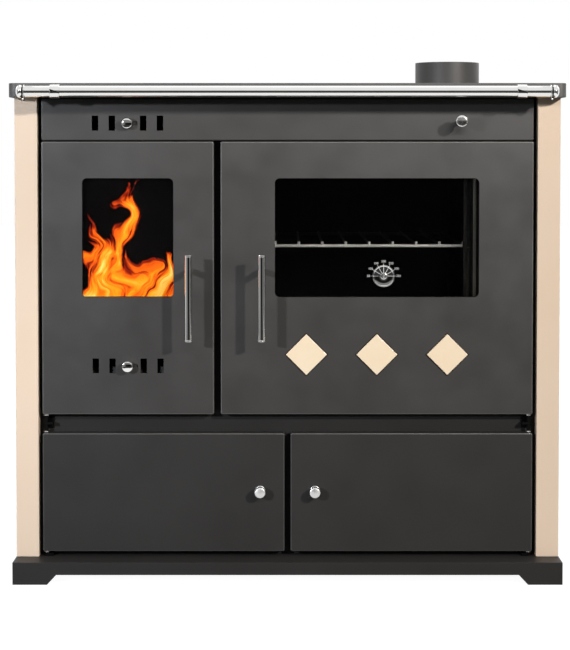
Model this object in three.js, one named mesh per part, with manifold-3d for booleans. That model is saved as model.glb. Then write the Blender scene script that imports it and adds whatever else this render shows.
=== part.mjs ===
// Wood-burning family cookstove: fire door and oven door above, two storage doors below,
// cast hob on top, flue spigot at the right rear.
// Lengths are in millimetres, +Z is up and the front faces -Y.
// The origin is on the floor, under the middle of the stove's outline.

import * as THREE from 'three';
import { mergeVertices } from 'three/addons/utils/BufferGeometryUtils.js';
import Module from 'manifold-3d';

const wasm = await Module();
wasm.setup();

// Overall
const hobWidth = 900;
const hobDepth = 600;
const hobRim = 23;
const hobAbovePanel = 0.5;
const hobCornerRadius = 12;
const hobFrontOverhang = 40;
const hobSideOverhang = 4;
const hobRearOverhang = 18;
const plinthHeight = 36.5;

// Stock thicknesses and clearances
const sheet = 2;
const heavySheet = 3;
const seatGap = 0.3;
const runningGap = 0.3;
const cutOverrun = 5;
const edgeRadius = 2;
const cornerRadius = 3;

// Facet counts
const edgeSteps = 2;
const cornerSteps = 3;
const windowCornerSteps = 4;
const pinSides = 12;
const knobSides = 24;
const tubeSides = 16;
const roundSides = 48;

// Towel rail
const railDiameter = 18;
const railHobGap = 18;
const railEndInset = 14;
const railBendRadius = 16;
const railBendSteps = 6;
const railAboveHobUnderside = 10;
const elbowDiameter = 21;
const elbowSocket = 11;
const weldOverlap = 0.5;
const railBracketInset = 78;
const railBracketWidth = 17.5;
const railBracketHeight = 22;
const railBracketNeck = 12;

// Doors and front
const stripWidth = 37;
const stripToDoor = 6.4;
const stripReturn = 20;
const doorDepth = 20;
const doorToFrame = 2;
const storageDoorBottomGap = 8.9;
const storageDoorHeight = 195.6;
const storageDoorGap = 9.4;
const middleRailHeight = 31;
const upperDoorHeight = 448;
const fireDoorWidth = 282.1;
const upperDoorGap = 10.8;
const upperPanelGap = 1.5;
const upperPanelSetback = 2;
const upperPanelHeight = 69;
const deckAboveDoorBottom = 12;

// Hinges
const hingePinRadius = 3;
const hingePinReach = 8;
const hingeLugWidth = 14;
const hingeLugLip = 1.5;
const hingeLugThickness = 4;
const hingeFlangeHeight = 18;
const hingeFlangeThickness = 3;

// Openings of the front frame
const fireHingeOverlap = 24.6;
const fireLatchOverlap = 21.5;
const fireSill = 2;
const openingTopOverlap = 20;
const ovenLatchOverlap = 35.7;
const ovenBottomLip = 4;
const ovenTopLip = 4;
const ovenSideLip = 4;
const storageOpeningSideOverlap = 17.6;
const storageOpeningEndOverlap = 10;
const mullionWidth = 36;
const keeperReach = 17;
const keeperHeight = 28;
const keeperClearance = 0.5;

// Windows
const windowBelowDoorTop = 60;
const windowAboveDoorBottom = 193;
const fireWindowMargin = 66.3;
const ovenWindowMargin = 88.95;
const windowCornerRadius = 8;
const sealThickness = 4;
const sealWidth = 8;
const glassThickness = 4;
const glassMargin = 12;

// Cast inner frames of the upper doors
const innerPlateThickness = 6;
const innerSkirtDepth = 20.5;
const innerSkirtWall = 6;
const innerFrameClearance = 4;
const innerPlateHingeMargin = 14.6;

// Latch levers
const handleLength = 140;
const handleDiameter = 12;
const handleRim = 0.5;
const handleRimLength = 3;
const handleStandOut = 45;
const handleAboveDoorBottom = 125;
const spindleBelowHandleTop = 28;
const spindleDiameter = 10;
const tenonDiameter = 6;
const tenonLength = 6;
const tongueWidth = 16;
const tongueThickness = 5;
const tongueClearance = 2;
const tongueCatch = 12;
const fireHandleInset = 39.5;
const ovenHandleInset = 67.7;

// Air slots and slides
const slotWidth = 10.5;
const slotHeight = 24.3;
const innerSlotOffset = 25.6;
const slotPitch = 27.5;
const fireSlotsAboveDoorBottom = 80;
const upperSlotsAbovePanelBottom = 28.5;
const slideThickness = 1.5;
const slideMargin = 5;
const slideTravel = 13;
const stemSlotHeight = 6.5;
const slotEndShare = 0.9;
const airStemDiameter = 5;
const guideWall = 1.5;
const guideLip = 3;
const airPassageMargin = 1.5;

// Knobs
const knobDiameter = 18;
const airKnobLength = 12;
const airKnobLift = 3;
const storageKnobLength = 14;
const storageKnobNeck = 7;
const storageNeckDiameter = 9;
const storageKnobInset = 40.3;
const storageKnobAboveDoorBottom = 100.6;
const knobEdge = 1;

// Damper and flue
const damperKnobDiameter = 19.5;
const damperKnobLength = 14;
const damperStandOut = 28;
const damperRodOffset = 21;
const damperAbovePanelBottom = 31.5;
const damperRodDiameter = 8;
const damperSideLap = 8;
const damperEndLap = 6;
const flueDiameter = 120;
const flueWall = 2;
const flueInset = 144;
const flueFromBack = 92;
const flueAboveHob = 55;
const flueBelowHobTop = 20;
const flueFlangeWidth = 15;
const chamberMargin = 7;
const chamberWindowSide = 19;
const chamberWindowHeight = 54;

// Hob
const hobOpeningSideMargin = 60;
const hobOpeningBehindFrame = 5;
const hobOpeningBeforeFlue = 5;
const hobPlateThickness = 8;
const castGap = 1;
const hobLedgeWidth = 15;
const hobRingInsideCasing = 25;
const hobLidShare = 0.6;
const rebateWidth = 5;
const rebateDepth = 4;
const ringGap = 0.6;
const lifterLength = 24;
const lifterWidth = 9;
const lifterDepth = 4;

// Plinth
const plinthSideInset = 3;
const footWidth = 56;
const footSlopeWidth = 15;
const archHeight = 16;
const plinthFlange = 85;
const footPad = 50;

// Oven
const ovenBehindDoorEdge = 17.7;
const ovenSidePassage = 142;
const ovenRearPassage = 75;
const ovenAboveDeck = 16;
const ovenSkidWidth = 3;
const ovenSkidInset = 35;
const runnerWidth = 10;
const runnerBelowTop = 161;
const runnerFrontInset = 20;
const rackWire = 5;
const rackCrossWire = 4;
const rackSideGap = 5;
const rackFrontBehindFrame = 38;
const rackRearClearance = 10;
const rackCrossWires = 10;
const rackRightInset = 5.3;
const rackLeftInset = 27.45;
const rackSides = 8;

// Firebox
const casingOuterInset = 10.6;
const casingToOven = 17;
const casingBehindOpening = 3;
const casingTopBelowHob = 14;
const gasPassageHeight = 88;
const hearthHeight = 102;
const hearthThickness = 12;
const hearthLedge = 3;
const hearthFrontInset = 27;
const grateSideMargin = 62;
const grateEndMargin = 61;
const grateLedge = 8;
const grateBars = 9;
const grateBarShare = 0.5;
const grateRim = 10;
const brickThickness = 30;
const brickHeight = 230;
const brickFrontInset = 32;
const ashPanSideClearance = 6;
const ashPanRearGap = 15;
const ashPanHeight = 60;
const ashPanFrontInset = 22;
const ashPanPullWidth = 60;
const ashPanPullDepth = 8;
const ashPanPullHeight = 12;

// Ornament and thermometer
const tileSide = 47.6;
const tileThickness = 3.5;
const tilePitch = 115.5;
const tileAboveDoorBottom = 99;
const dialDiameter = 36;
const dialThickness = 3;
const dialPostDiameter = 4;
const dialRim = 1.5;
const dialRimHeight = 1;
const dialRightOfWindowMiddle = 11.2;
const dialAboveWindowBottom = 34.5;
const needleLength = 13;
const needleTail = 8;
const needleWidth = 2.4;
const needleThickness = 1;
const needleHubDiameter = 11;
const needleHubThickness = 2;

// Places worked out from the sizes above
const outlineDepth = hobDepth + railHobGap + railDiameter / 2 + railBracketHeight / 2;
const railY = (railBracketHeight - outlineDepth) / 2;
const hobFrontY = railY + railDiameter / 2 + railHobGap;
const hobBackY = outlineDepth / 2;
const doorFaceY = hobFrontY + hobFrontOverhang;
const doorBackY = doorFaceY + doorDepth;
const frameFaceY = doorBackY + doorToFrame;
const frameRearY = frameFaceY + heavySheet;
const bodyBackY = hobBackY - hobRearOverhang;
const bodyHalfWidth = hobWidth / 2 - hobSideOverhang;
const bodyBottom = plinthHeight + seatGap;
const innerHalfWidth = bodyHalfWidth - sheet - seatGap;
const innerBackY = bodyBackY - sheet - seatGap;
const doorOuterX = bodyHalfWidth - stripWidth - stripToDoor;
const storageDoorBottom = plinthHeight + storageDoorBottomGap;
const storageDoorTop = storageDoorBottom + storageDoorHeight;
const upperDoorBottom = storageDoorTop + middleRailHeight;
const upperDoorTop = upperDoorBottom + upperDoorHeight;
const upperPanelBottom = upperDoorTop + upperPanelGap;
const upperPanelTop = upperPanelBottom + upperPanelHeight;
const hobUnderside = upperPanelTop + hobAbovePanel;
const hobTop = hobUnderside + hobRim;
const bodyTop = hobTop - heavySheet - seatGap;
const deckTop = upperDoorBottom + deckAboveDoorBottom;
const fireDoorX = [-doorOuterX, -doorOuterX + fireDoorWidth];
const ovenDoorX = [fireDoorX[1] + upperDoorGap, doorOuterX];
const fireDoorMiddleX = (fireDoorX[0] + fireDoorX[1]) / 2;
const ovenDoorMiddleX = (ovenDoorX[0] + ovenDoorX[1]) / 2;
const windowZ = [upperDoorBottom + windowAboveDoorBottom, upperDoorTop - windowBelowDoorTop];
const fireWindowX = widen(fireDoorX, -fireWindowMargin);
const ovenWindowX = widen(ovenDoorX, -ovenWindowMargin);
const hingeX = doorOuterX - sheet - runningGap - hingePinRadius - seatGap;
const hingeY = doorFaceY + doorDepth / 2;
const fireOpeningX = [fireDoorX[0] + fireHingeOverlap, fireDoorX[1] - fireLatchOverlap];
const fireOpeningZ = [deckTop + fireSill, upperDoorTop - openingTopOverlap];
const ovenLeftX = ovenDoorX[0] + ovenBehindDoorEdge;
const ovenRightX = bodyHalfWidth - ovenSidePassage;
const ovenOpeningX = [ovenDoorX[0] + ovenLatchOverlap, ovenRightX - ovenSideLip];
const ovenBottomZ = deckTop + ovenAboveDeck;
const ovenOpeningZ = [ovenBottomZ + ovenBottomLip, fireOpeningZ[1]];
const ovenTopZ = ovenOpeningZ[1] + ovenTopLip;
const ovenFrontY = frameRearY + seatGap;
const ovenBackY = bodyBackY - ovenRearPassage;
const glassFrontY = doorFaceY + sheet + sealThickness;
const innerPlateY = glassFrontY + glassThickness + seatGap;
const innerSkirtY = innerPlateY + innerPlateThickness;
const innerRearY = innerSkirtY + innerSkirtDepth;
const tongueY = innerRearY + tongueClearance;
const handleBottom = upperDoorBottom + handleAboveDoorBottom;
const handleTop = handleBottom + handleLength;
const handleY = doorFaceY - handleStandOut;
const spindleZ = handleTop - spindleBelowHandleTop;
const fireHandleX = fireDoorX[1] - fireHandleInset;
const ovenHandleX = ovenDoorX[0] + ovenHandleInset;
const fireSlotsZ = upperDoorBottom + fireSlotsAboveDoorBottom;
const upperSlotsZ = upperPanelBottom + upperSlotsAbovePanelBottom;
const upperPanelY = doorFaceY + upperPanelSetback;
const slideHalfWidth = innerSlotOffset + slotPitch + slotWidth / 2 + slideMargin;
const slideHalfHeight = slotHeight / 2 + slideMargin;
const flueX = bodyHalfWidth - flueInset;
const flueY = bodyBackY - flueFromBack;
const flueFlangeRadius = flueDiameter / 2 + flueFlangeWidth;
const chamberWidth = flueDiameter + 2 * chamberMargin;
const chamberWindowWidth = chamberWidth - 2 * chamberWindowSide;
const damperX = flueX - damperRodOffset;
const damperZ = upperPanelBottom + damperAbovePanelBottom;
const hobOpeningX = spanAbout(0, hobWidth - 2 * hobOpeningSideMargin);
const hobOpeningY = [frameRearY + hobOpeningBehindFrame, flueY - flueFlangeRadius - hobOpeningBeforeFlue];
const hobRingY = (hobOpeningY[0] + hobOpeningY[1]) / 2;
const hobPlateZ = hobTop - hobPlateThickness;
const damperPlateBackY = flueY - chamberWidth / 2 - seatGap;
const casingLeftX = -doorOuterX + casingOuterInset;
const casingRightX = ovenLeftX - heavySheet - casingToOven;
const casingBackY = hobOpeningY[1] - casingBehindOpening;
const hobRingX = (casingLeftX + casingRightX) / 2;
const hobRingDiameter = casingRightX - casingLeftX - 2 * hobRingInsideCasing;
const hobLidDiameter = hobRingDiameter * hobLidShare;
const casingBottom = deckTop + seatGap;
const hearthZ = deckTop + hearthHeight;
const hearthTop = hearthZ + hearthThickness;
const hearthX = [casingLeftX + heavySheet, casingRightX - heavySheet];
const grateX = widen(hearthX, -grateSideMargin);
const grateY = widen([frameRearY, casingBackY], -grateEndMargin);

function spanAbout(middle, width) {
  return [middle - width / 2, middle + width / 2];
}

function widen(span, by) {
  return [span[0] - by, span[1] + by];
}

// Finishes
function finish(colour, roughness, metalness) {
  return new THREE.MeshStandardMaterial({ color: colour, roughness, metalness });
}
const enamel = () => finish(0x4a4846, 0.5, 0.2);
const creamEnamel = () => finish(0xecd9bf, 0.4, 0.0);
const chrome = () => finish(0xd9d9db, 0.12, 1.0);
const castIron = () => finish(0x2c2b2a, 0.75, 0.5);
const darkSteel = () => finish(0x3a3938, 0.6, 0.6);
const fireclay = () => finish(0xc8ab84, 0.95, 0.0);
const rope = () => finish(0x55524d, 0.95, 0.0);
const tileGlaze = () => finish(0xfde6c8, 0.25, 0.0);
function glass() {
  const material = finish(0x101010, 0.05, 0.0);
  material.transparent = true;
  material.opacity = 0.35;
  return material;
}

// Solids: closed geometries are joined and cut by the solid library
function solidOf(geometry) {
  const bare = geometry.clone();
  bare.deleteAttribute('normal');
  bare.deleteAttribute('uv');
  const merged = mergeVertices(bare);
  return new wasm.Manifold(new wasm.Mesh({
    numProp: 3,
    vertProperties: new Float32Array(merged.attributes.position.array),
    triVerts: new Uint32Array(merged.index.array),
  }));
}

function geometryOf(solid) {
  const mesh = solid.getMesh();
  const geometry = new THREE.BufferGeometry();
  geometry.setAttribute('position', new THREE.BufferAttribute(new Float32Array(mesh.vertProperties), 3));
  geometry.setIndex(new THREE.BufferAttribute(new Uint32Array(mesh.triVerts), 1));
  geometry.computeVertexNormals();
  return geometry;
}

function joined(solids) {
  return solids.reduce((whole, solid) => whole.add(solid));
}

function cut(solid, tools) {
  return tools.reduce((rest, tool) => rest.subtract(tool), solid);
}

// A box between two places on each axis
function block(x, y, z) {
  const box = new THREE.BoxGeometry(x[1] - x[0], y[1] - y[0], z[1] - z[0]);
  box.translate((x[0] + x[1]) / 2, (y[0] + y[1]) / 2, (z[0] + z[1]) / 2);
  return solidOf(box);
}

// A round bar along X, Y or Z through the given middle
function bar(axis, middle, diameter, span, sides) {
  const round = new THREE.CylinderGeometry(diameter / 2, diameter / 2, span[1] - span[0], sides);
  if (axis === 'x') round.rotateZ(Math.PI / 2);
  if (axis === 'z') round.rotateX(Math.PI / 2);
  const along = (span[0] + span[1]) / 2;
  const place = { x: [along, ...middle], y: [middle[0], along, middle[1]], z: [...middle, along] }[axis];
  round.translate(...place);
  return solidOf(round);
}

// A rectangle with round corners, in the plane of the outline
function roundedRectangle(u, v, radius) {
  const outline = new THREE.Shape();
  outline.moveTo(u[0] + radius, v[0]);
  outline.lineTo(u[1] - radius, v[0]);
  outline.absarc(u[1] - radius, v[0] + radius, radius, -Math.PI / 2, 0);
  outline.lineTo(u[1], v[1] - radius);
  outline.absarc(u[1] - radius, v[1] - radius, radius, 0, Math.PI / 2);
  outline.lineTo(u[0] + radius, v[1]);
  outline.absarc(u[0] + radius, v[1] - radius, radius, Math.PI / 2, Math.PI);
  outline.lineTo(u[0], v[0] + radius);
  outline.absarc(u[0] + radius, v[0] + radius, radius, Math.PI, Math.PI * 1.5);
  return outline;
}

function polygon(points) {
  return new THREE.Shape(points.map(([u, v]) => new THREE.Vector2(u, v)));
}

// An outline in X and Z, given a thickness along Y
function upright(outline, y, steps = cornerSteps) {
  const depth = y[1] - y[0];
  const geometry = new THREE.ExtrudeGeometry(outline, { depth, bevelEnabled: false, curveSegments: steps });
  geometry.rotateX(Math.PI / 2);
  geometry.translate(0, y[1], 0);
  return solidOf(geometry);
}

// An outline in Y and Z, given a thickness along X
function sideways(outline, x) {
  const depth = x[1] - x[0];
  const geometry = new THREE.ExtrudeGeometry(outline, { depth, bevelEnabled: false });
  geometry.rotateX(Math.PI / 2);
  geometry.rotateZ(Math.PI / 2);
  geometry.translate(x[0], 0, 0);
  return solidOf(geometry);
}

// An outline in X and Y, given a height along Z
function level(outline, z, steps = cornerSteps) {
  const depth = z[1] - z[0];
  const geometry = new THREE.ExtrudeGeometry(outline, { depth, bevelEnabled: false, curveSegments: steps });
  geometry.translate(0, 0, z[0]);
  return solidOf(geometry);
}

// A folded tray, open at the back, with rounded front edges
function tray(x, z, faceY, depth) {
  const blank = new THREE.ExtrudeGeometry(roundedRectangle(x, z, cornerRadius), {
    depth,
    bevelThickness: edgeRadius,
    bevelSize: edgeRadius,
    bevelOffset: -edgeRadius,
    bevelSegments: edgeSteps,
    curveSegments: cornerSteps,
  });
  blank.rotateX(Math.PI / 2);
  blank.translate(0, faceY + depth + edgeRadius, 0);
  const backY = faceY + depth;
  const waste = [backY, backY + depth + cutOverrun];
  const hollow = block(widen(x, -sheet), [faceY + sheet, backY + cutOverrun], widen(z, -sheet));
  return cut(solidOf(blank), [block(widen(x, cutOverrun), waste, widen(z, cutOverrun)), hollow]);
}

// A turned piece from half-profile points of radius and height, upright or facing the front
function lathe(points, sides) {
  return new THREE.LatheGeometry(points.map(([r, h]) => new THREE.Vector2(r, h)), sides);
}

function turned(points, sides) {
  return solidOf(lathe(points, sides).rotateX(Math.PI / 2));
}

function turnedForward(points, sides) {
  return solidOf(lathe(points, sides).rotateX(Math.PI));
}

const stove = new THREE.Group();

// Adds a named piece to a group, at a place if one is given
function addPiece(parent, name, solid, material, place = [0, 0, 0]) {
  const mesh = new THREE.Mesh(geometryOf(solid), material);
  mesh.name = name;
  mesh.position.set(...place);
  parent.add(mesh);
  return mesh;
}

// The same span on the left (side -1) or on the right (side 1)
function onSide(side, near, far) {
  return side < 0 ? [-far, -near] : [near, far];
}

// Carcass
const carcass = new THREE.Group();
stove.add(carcass);

function makePlinth() {
  const x = spanAbout(0, hobWidth - 2 * plinthSideInset);
  const y = [hobFrontY, bodyBackY];
  const below = [-cutOverrun, plinthHeight - heavySheet];
  const shell = cut(block(x, y, [0, plinthHeight]), [
    block(widen(x, -heavySheet), widen(y, -heavySheet), below),
    block(widen(x, -plinthFlange), widen(y, -plinthFlange), [0, plinthHeight + cutOverrun]),
  ]);
  const pads = [];
  for (const padX of [[x[0], x[0] + footPad], [x[1] - footPad, x[1]]]) {
    for (const padY of [[y[0], y[0] + footPad], [y[1] - footPad, y[1]]]) {
      pads.push(block(padX, padY, [0, heavySheet]));
    }
  }
  const arch = (span) => polygon([
    [span[0] + footWidth, -cutOverrun],
    [span[1] - footWidth, -cutOverrun],
    [span[1] - footWidth, 0],
    [span[1] - footWidth - footSlopeWidth, archHeight],
    [span[0] + footWidth + footSlopeWidth, archHeight],
    [span[0] + footWidth, 0],
  ]);
  return cut(joined([shell, ...pads]), [
    upright(arch(x), widen(y, cutOverrun)),
    sideways(arch(y), widen(x, cutOverrun)),
  ]);
}

// Side panel: one folded sheet with a front strip and its return, an outer wall and a rear return
function makeSidePanel(side) {
  const stripInner = bodyHalfWidth - stripWidth;
  const wallInner = bodyHalfWidth - sheet;
  const rearInner = bodyHalfWidth - stripReturn;
  const section = [
    [bodyHalfWidth, doorFaceY],
    [bodyHalfWidth, bodyBackY],
    [rearInner, bodyBackY],
    [rearInner, bodyBackY - sheet],
    [wallInner, bodyBackY - sheet],
    [wallInner, doorFaceY + sheet],
    [stripInner + sheet, doorFaceY + sheet],
    [stripInner + sheet, frameFaceY - seatGap],
    [stripInner, frameFaceY - seatGap],
    [stripInner, doorFaceY],
  ];
  return level(polygon(section.map(([x, y]) => [side * x, y])), [bodyBottom, bodyTop]);
}

// Front frame: one plate with its openings, and the keepers that the latch tongues turn behind
function makeFrontFrame() {
  const through = widen([frameFaceY, frameRearY], cutOverrun);
  const storageZ = widen([storageDoorBottom, storageDoorTop], -storageOpeningEndOverlap);
  const storageX = [mullionWidth / 2, doorOuterX - storageOpeningSideOverlap];
  const keeperY = [frameRearY - weldOverlap, tongueY - keeperClearance];
  const keeperZ = spanAbout(spindleZ, keeperHeight);
  const plate = cut(block([-innerHalfWidth, innerHalfWidth], [frameFaceY, frameRearY], [bodyBottom, bodyTop]), [
    block(fireOpeningX, through, fireOpeningZ),
    block(ovenOpeningX, through, ovenOpeningZ),
    block(onSide(-1, ...storageX), through, storageZ),
    block(onSide(1, ...storageX), through, storageZ),
    block(spanAbout(fireDoorMiddleX, 2 * slideHalfWidth), through, spanAbout(upperSlotsZ, slotHeight)),
    bar('y', [damperX, damperZ], damperRodDiameter + 2 * runningGap, through, pinSides),
  ]);
  return joined([
    plate,
    block([fireOpeningX[1], fireOpeningX[1] + keeperReach], keeperY, keeperZ),
    block([ovenOpeningX[0] - keeperReach, ovenOpeningX[0]], keeperY, keeperZ),
  ]);
}

function makeInnerSheets() {
  const x = [-innerHalfWidth, innerHalfWidth];
  const backPanelY = [innerBackY - sheet, innerBackY];
  const y = [frameRearY + seatGap, backPanelY[0] - seatGap];
  const floorZ = [bodyBottom, bodyBottom + sheet];
  const deckZ = [deckTop - heavySheet, deckTop];
  addPiece(carcass, 'back_panel', block(x, backPanelY, [bodyBottom, bodyTop]), darkSteel());
  addPiece(carcass, 'storage_floor', block(x, y, floorZ), darkSteel());
  addPiece(carcass, 'middle_deck', block(x, y, deckZ), darkSteel());
  const dividerZ = [floorZ[1] + seatGap, deckZ[0] - seatGap];
  addPiece(carcass, 'storage_divider', block(spanAbout(0, sheet), y, dividerZ), darkSteel());
}

// Windows of one air pattern: two slots each side of the knob
function slotMiddles(middleX) {
  const offsets = [innerSlotOffset, innerSlotOffset + slotPitch];
  return offsets.flatMap((offset) => [middleX - offset, middleX + offset]);
}

function slotCutters(middleX, middleZ, y) {
  return slotMiddles(middleX).map((x) => block(spanAbout(x, slotWidth), y, spanAbout(middleZ, slotHeight)));
}

function stemSlotCutter(middleX, middleZ, y) {
  const end = stemSlotHeight / 2;
  const x = [middleX - end, middleX + slideTravel + end];
  return upright(roundedRectangle(x, spanAbout(middleZ, stemSlotHeight), end * slotEndShare), y);
}

// Two lipped rails on the back of a sheet, which hold a slide
function slideGuides(middleX, middleZ, sheetRearY) {
  const x = spanAbout(middleX, 2 * slideHalfWidth);
  const lipY = sheetRearY + 2 * runningGap + slideThickness;
  return [-1, 1].flatMap((side) => {
    const near = slideHalfHeight + runningGap;
    const wallZ = onSide(side, near, near + guideWall).map((z) => z + middleZ);
    const lipZ = onSide(side, near - guideLip, near + guideWall).map((z) => z + middleZ);
    return [
      block(x, [sheetRearY - sheet / 2, lipY + guideWall], wallZ),
      block(x, [lipY, lipY + guideWall], lipZ),
    ];
  });
}

function makeSlide(middleX, middleZ, sheetRearY) {
  const y = [sheetRearY + runningGap, sheetRearY + runningGap + slideThickness];
  const plate = block(spanAbout(middleX, 2 * slideHalfWidth), y, spanAbout(middleZ, 2 * slideHalfHeight));
  return cut(plate, slotCutters(middleX, middleZ, widen(y, cutOverrun)));
}

// A turned knob on a stem. Heights are measured forward from the face that it stands on.
function makeKnob(diameter, head, stemDiameter, stemStart) {
  const r = diameter / 2;
  const stem = stemDiameter / 2;
  return turnedForward([
    [0, stemStart],
    [stem, stemStart],
    [stem, head[0]],
    [r - knobEdge, head[0]],
    [r, head[0] + knobEdge],
    [r, head[1] - knobEdge],
    [r - knobEdge, head[1]],
    [0, head[1]],
  ], knobSides);
}

function makeAirKnob() {
  const head = [airKnobLift, airKnobLift + airKnobLength];
  return makeKnob(knobDiameter, head, airStemDiameter, -sheet - runningGap);
}

function hingePinHole(side, z) {
  const diameter = 2 * (hingePinRadius + runningGap);
  return bar('z', [side * hingeX, hingeY], diameter, widen([z, z], sheet + weldOverlap), pinSides);
}

function makeUpperPanel() {
  const x = [-doorOuterX, doorOuterX];
  const z = [upperPanelBottom, upperPanelTop];
  const through = [upperPanelY - cutOverrun, upperPanelY + sheet + cutOverrun];
  const blank = tray(x, z, upperPanelY, frameFaceY - upperPanelY);
  const pierced = cut(blank, [
    ...slotCutters(fireDoorMiddleX, upperSlotsZ, through),
    stemSlotCutter(fireDoorMiddleX, upperSlotsZ, through),
    bar('y', [damperX, damperZ], damperRodDiameter + 2 * runningGap, through, pinSides),
    hingePinHole(-1, upperPanelBottom),
    hingePinHole(1, upperPanelBottom),
  ]);
  return joined([pierced, ...slideGuides(fireDoorMiddleX, upperSlotsZ, upperPanelY + sheet)]);
}

// Hinge bracket: a flange on the front frame, a lug and an upright pin
function makeHingeBracket(side, flangeZ, lugZ, pinZ) {
  const outer = hingeX + hingePinRadius;
  const x = onSide(side, outer - hingeLugWidth, outer);
  return joined([
    block(x, [frameFaceY - hingeFlangeThickness, frameFaceY], flangeZ),
    block(x, [hingeY - hingePinRadius - hingeLugLip, frameFaceY], lugZ),
    bar('z', [side * hingeX, hingeY], 2 * hingePinRadius, pinZ, pinSides),
  ]);
}

function addHingeBrackets(side, label) {
  const pinDown = (top) => top - sheet - hingePinReach;
  const pinUp = (bottom) => bottom + sheet + hingePinReach;
  const topStart = upperPanelBottom + sheet + seatGap;
  const topFlange = [topStart, topStart + hingeFlangeHeight];
  const topLug = [topStart, topStart + hingeLugThickness];
  const topPin = [pinDown(upperDoorTop), topLug[1]];
  addPiece(carcass, `hinge_bracket_top_${label}`, makeHingeBracket(side, topFlange, topLug, topPin), darkSteel());
  const middleZ = (storageDoorTop + upperDoorBottom) / 2;
  const middleFlange = spanAbout(middleZ, hingeFlangeHeight);
  const middleLug = spanAbout(middleZ, hingeLugThickness);
  const middlePin = [pinDown(storageDoorTop), pinUp(upperDoorBottom)];
  const middle = makeHingeBracket(side, middleFlange, middleLug, middlePin);
  addPiece(carcass, `hinge_bracket_middle_${label}`, middle, darkSteel());
  const bottomStart = bodyBottom + seatGap;
  const bottomFlange = [bottomStart, storageDoorBottom - castGap];
  const bottomLug = [bottomStart, bottomStart + hingeLugThickness];
  const bottomPin = [bottomStart, pinUp(storageDoorBottom)];
  const bottom = makeHingeBracket(side, bottomFlange, bottomLug, bottomPin);
  addPiece(carcass, `hinge_bracket_bottom_${label}`, bottom, darkSteel());
}

addPiece(carcass, 'base_plinth', makePlinth(), enamel());
addPiece(carcass, 'side_panel_left', makeSidePanel(-1), creamEnamel());
addPiece(carcass, 'side_panel_right', makeSidePanel(1), creamEnamel());
addPiece(carcass, 'front_frame', makeFrontFrame(), enamel());
makeInnerSheets();
addPiece(carcass, 'upper_front_panel', makeUpperPanel(), enamel());
addHingeBrackets(-1, 'left');
addHingeBrackets(1, 'right');

// Hob
function makeHobFrame() {
  const x = spanAbout(0, hobWidth);
  const y = [hobFrontY, hobBackY];
  const innerCorner = hobCornerRadius - heavySheet;
  const pocket = roundedRectangle(widen(x, -heavySheet), widen(y, -heavySheet), innerCorner);
  const ledgeTop = hobPlateZ - seatGap;
  const ledgeBottom = ledgeTop - heavySheet;
  const clear = [ledgeBottom - cutOverrun, hobTop + cutOverrun];
  const shell = cut(level(roundedRectangle(x, y, hobCornerRadius), [hobUnderside, hobTop]), [
    level(pocket, [hobUnderside - cutOverrun, hobTop - heavySheet]),
  ]);
  const lip = block(widen(hobOpeningX, heavySheet), widen(hobOpeningY, heavySheet), [ledgeBottom, hobTop]);
  return cut(joined([shell, lip]), [
    block(hobOpeningX, hobOpeningY, [ledgeTop, hobTop + cutOverrun]),
    block(widen(hobOpeningX, -hobLedgeWidth), widen(hobOpeningY, -hobLedgeWidth), clear),
    bar('z', [flueX, flueY], flueDiameter + 2 * seatGap, clear, roundSides),
  ]);
}

function makeHobPlate() {
  const plate = block(widen(hobOpeningX, -castGap), widen(hobOpeningY, -castGap), [hobPlateZ, hobTop]);
  const middle = [hobRingX, hobRingY];
  return cut(plate, [
    bar('z', middle, hobRingDiameter, [hobTop - rebateDepth, hobTop + cutOverrun], roundSides),
    bar('z', middle, hobRingDiameter - 2 * rebateWidth, widen([hobPlateZ, hobTop], cutOverrun), roundSides),
  ]);
}

// Stepped outer edge of a hob disc, which hangs in the rebate of the hole round it
function steppedEdge(holeDiameter) {
  const upper = holeDiameter / 2 - ringGap;
  const lower = upper - rebateWidth;
  const step = hobPlateThickness - rebateDepth + seatGap;
  return [[lower, 0], [lower, step], [upper, step], [upper, hobPlateThickness]];
}

function makeHobRing() {
  const upper = hobLidDiameter / 2;
  const lower = upper - rebateWidth;
  const step = hobPlateThickness - rebateDepth;
  const hole = [[upper, hobPlateThickness], [upper, step], [lower, step], [lower, 0]];
  const edge = steppedEdge(hobRingDiameter);
  return turned([...edge, ...hole, edge[0]], roundSides);
}

function makeHobLid() {
  const disc = turned([[0, 0], ...steppedEdge(hobLidDiameter), [0, hobPlateThickness]], roundSides);
  const pocketZ = [hobPlateThickness - lifterDepth, hobPlateThickness + cutOverrun];
  return cut(disc, [block(spanAbout(0, lifterLength), spanAbout(0, lifterWidth), pocketZ)]);
}

const hobRingLift = new THREE.Group();
const hobLidLift = new THREE.Group();
stove.add(hobRingLift, hobLidLift);
addPiece(carcass, 'hob_frame', makeHobFrame(), enamel());
addPiece(carcass, 'hob_plate', makeHobPlate(), castIron());
addPiece(hobRingLift, 'hob_ring', makeHobRing(), castIron(), [hobRingX, hobRingY, hobPlateZ]);
addPiece(hobLidLift, 'hob_lid', makeHobLid(), castIron(), [hobRingX, hobRingY, hobPlateZ]);

// Flue spigot, the chamber under it, and the damper that closes the chamber's front window
function makeFlueSpigot() {
  const outer = flueDiameter / 2;
  const inner = outer - flueWall;
  const flange = hobTop + seatGap;
  const z = [hobTop - flueBelowHobTop, hobTop + flueAboveHob];
  return turned([
    [inner, z[0]],
    [outer, z[0]],
    [outer, flange],
    [flueFlangeRadius, flange],
    [flueFlangeRadius, flange + heavySheet],
    [outer, flange + heavySheet],
    [outer, z[1]],
    [inner, z[1]],
    [inner, z[0]],
  ], roundSides);
}

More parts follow.
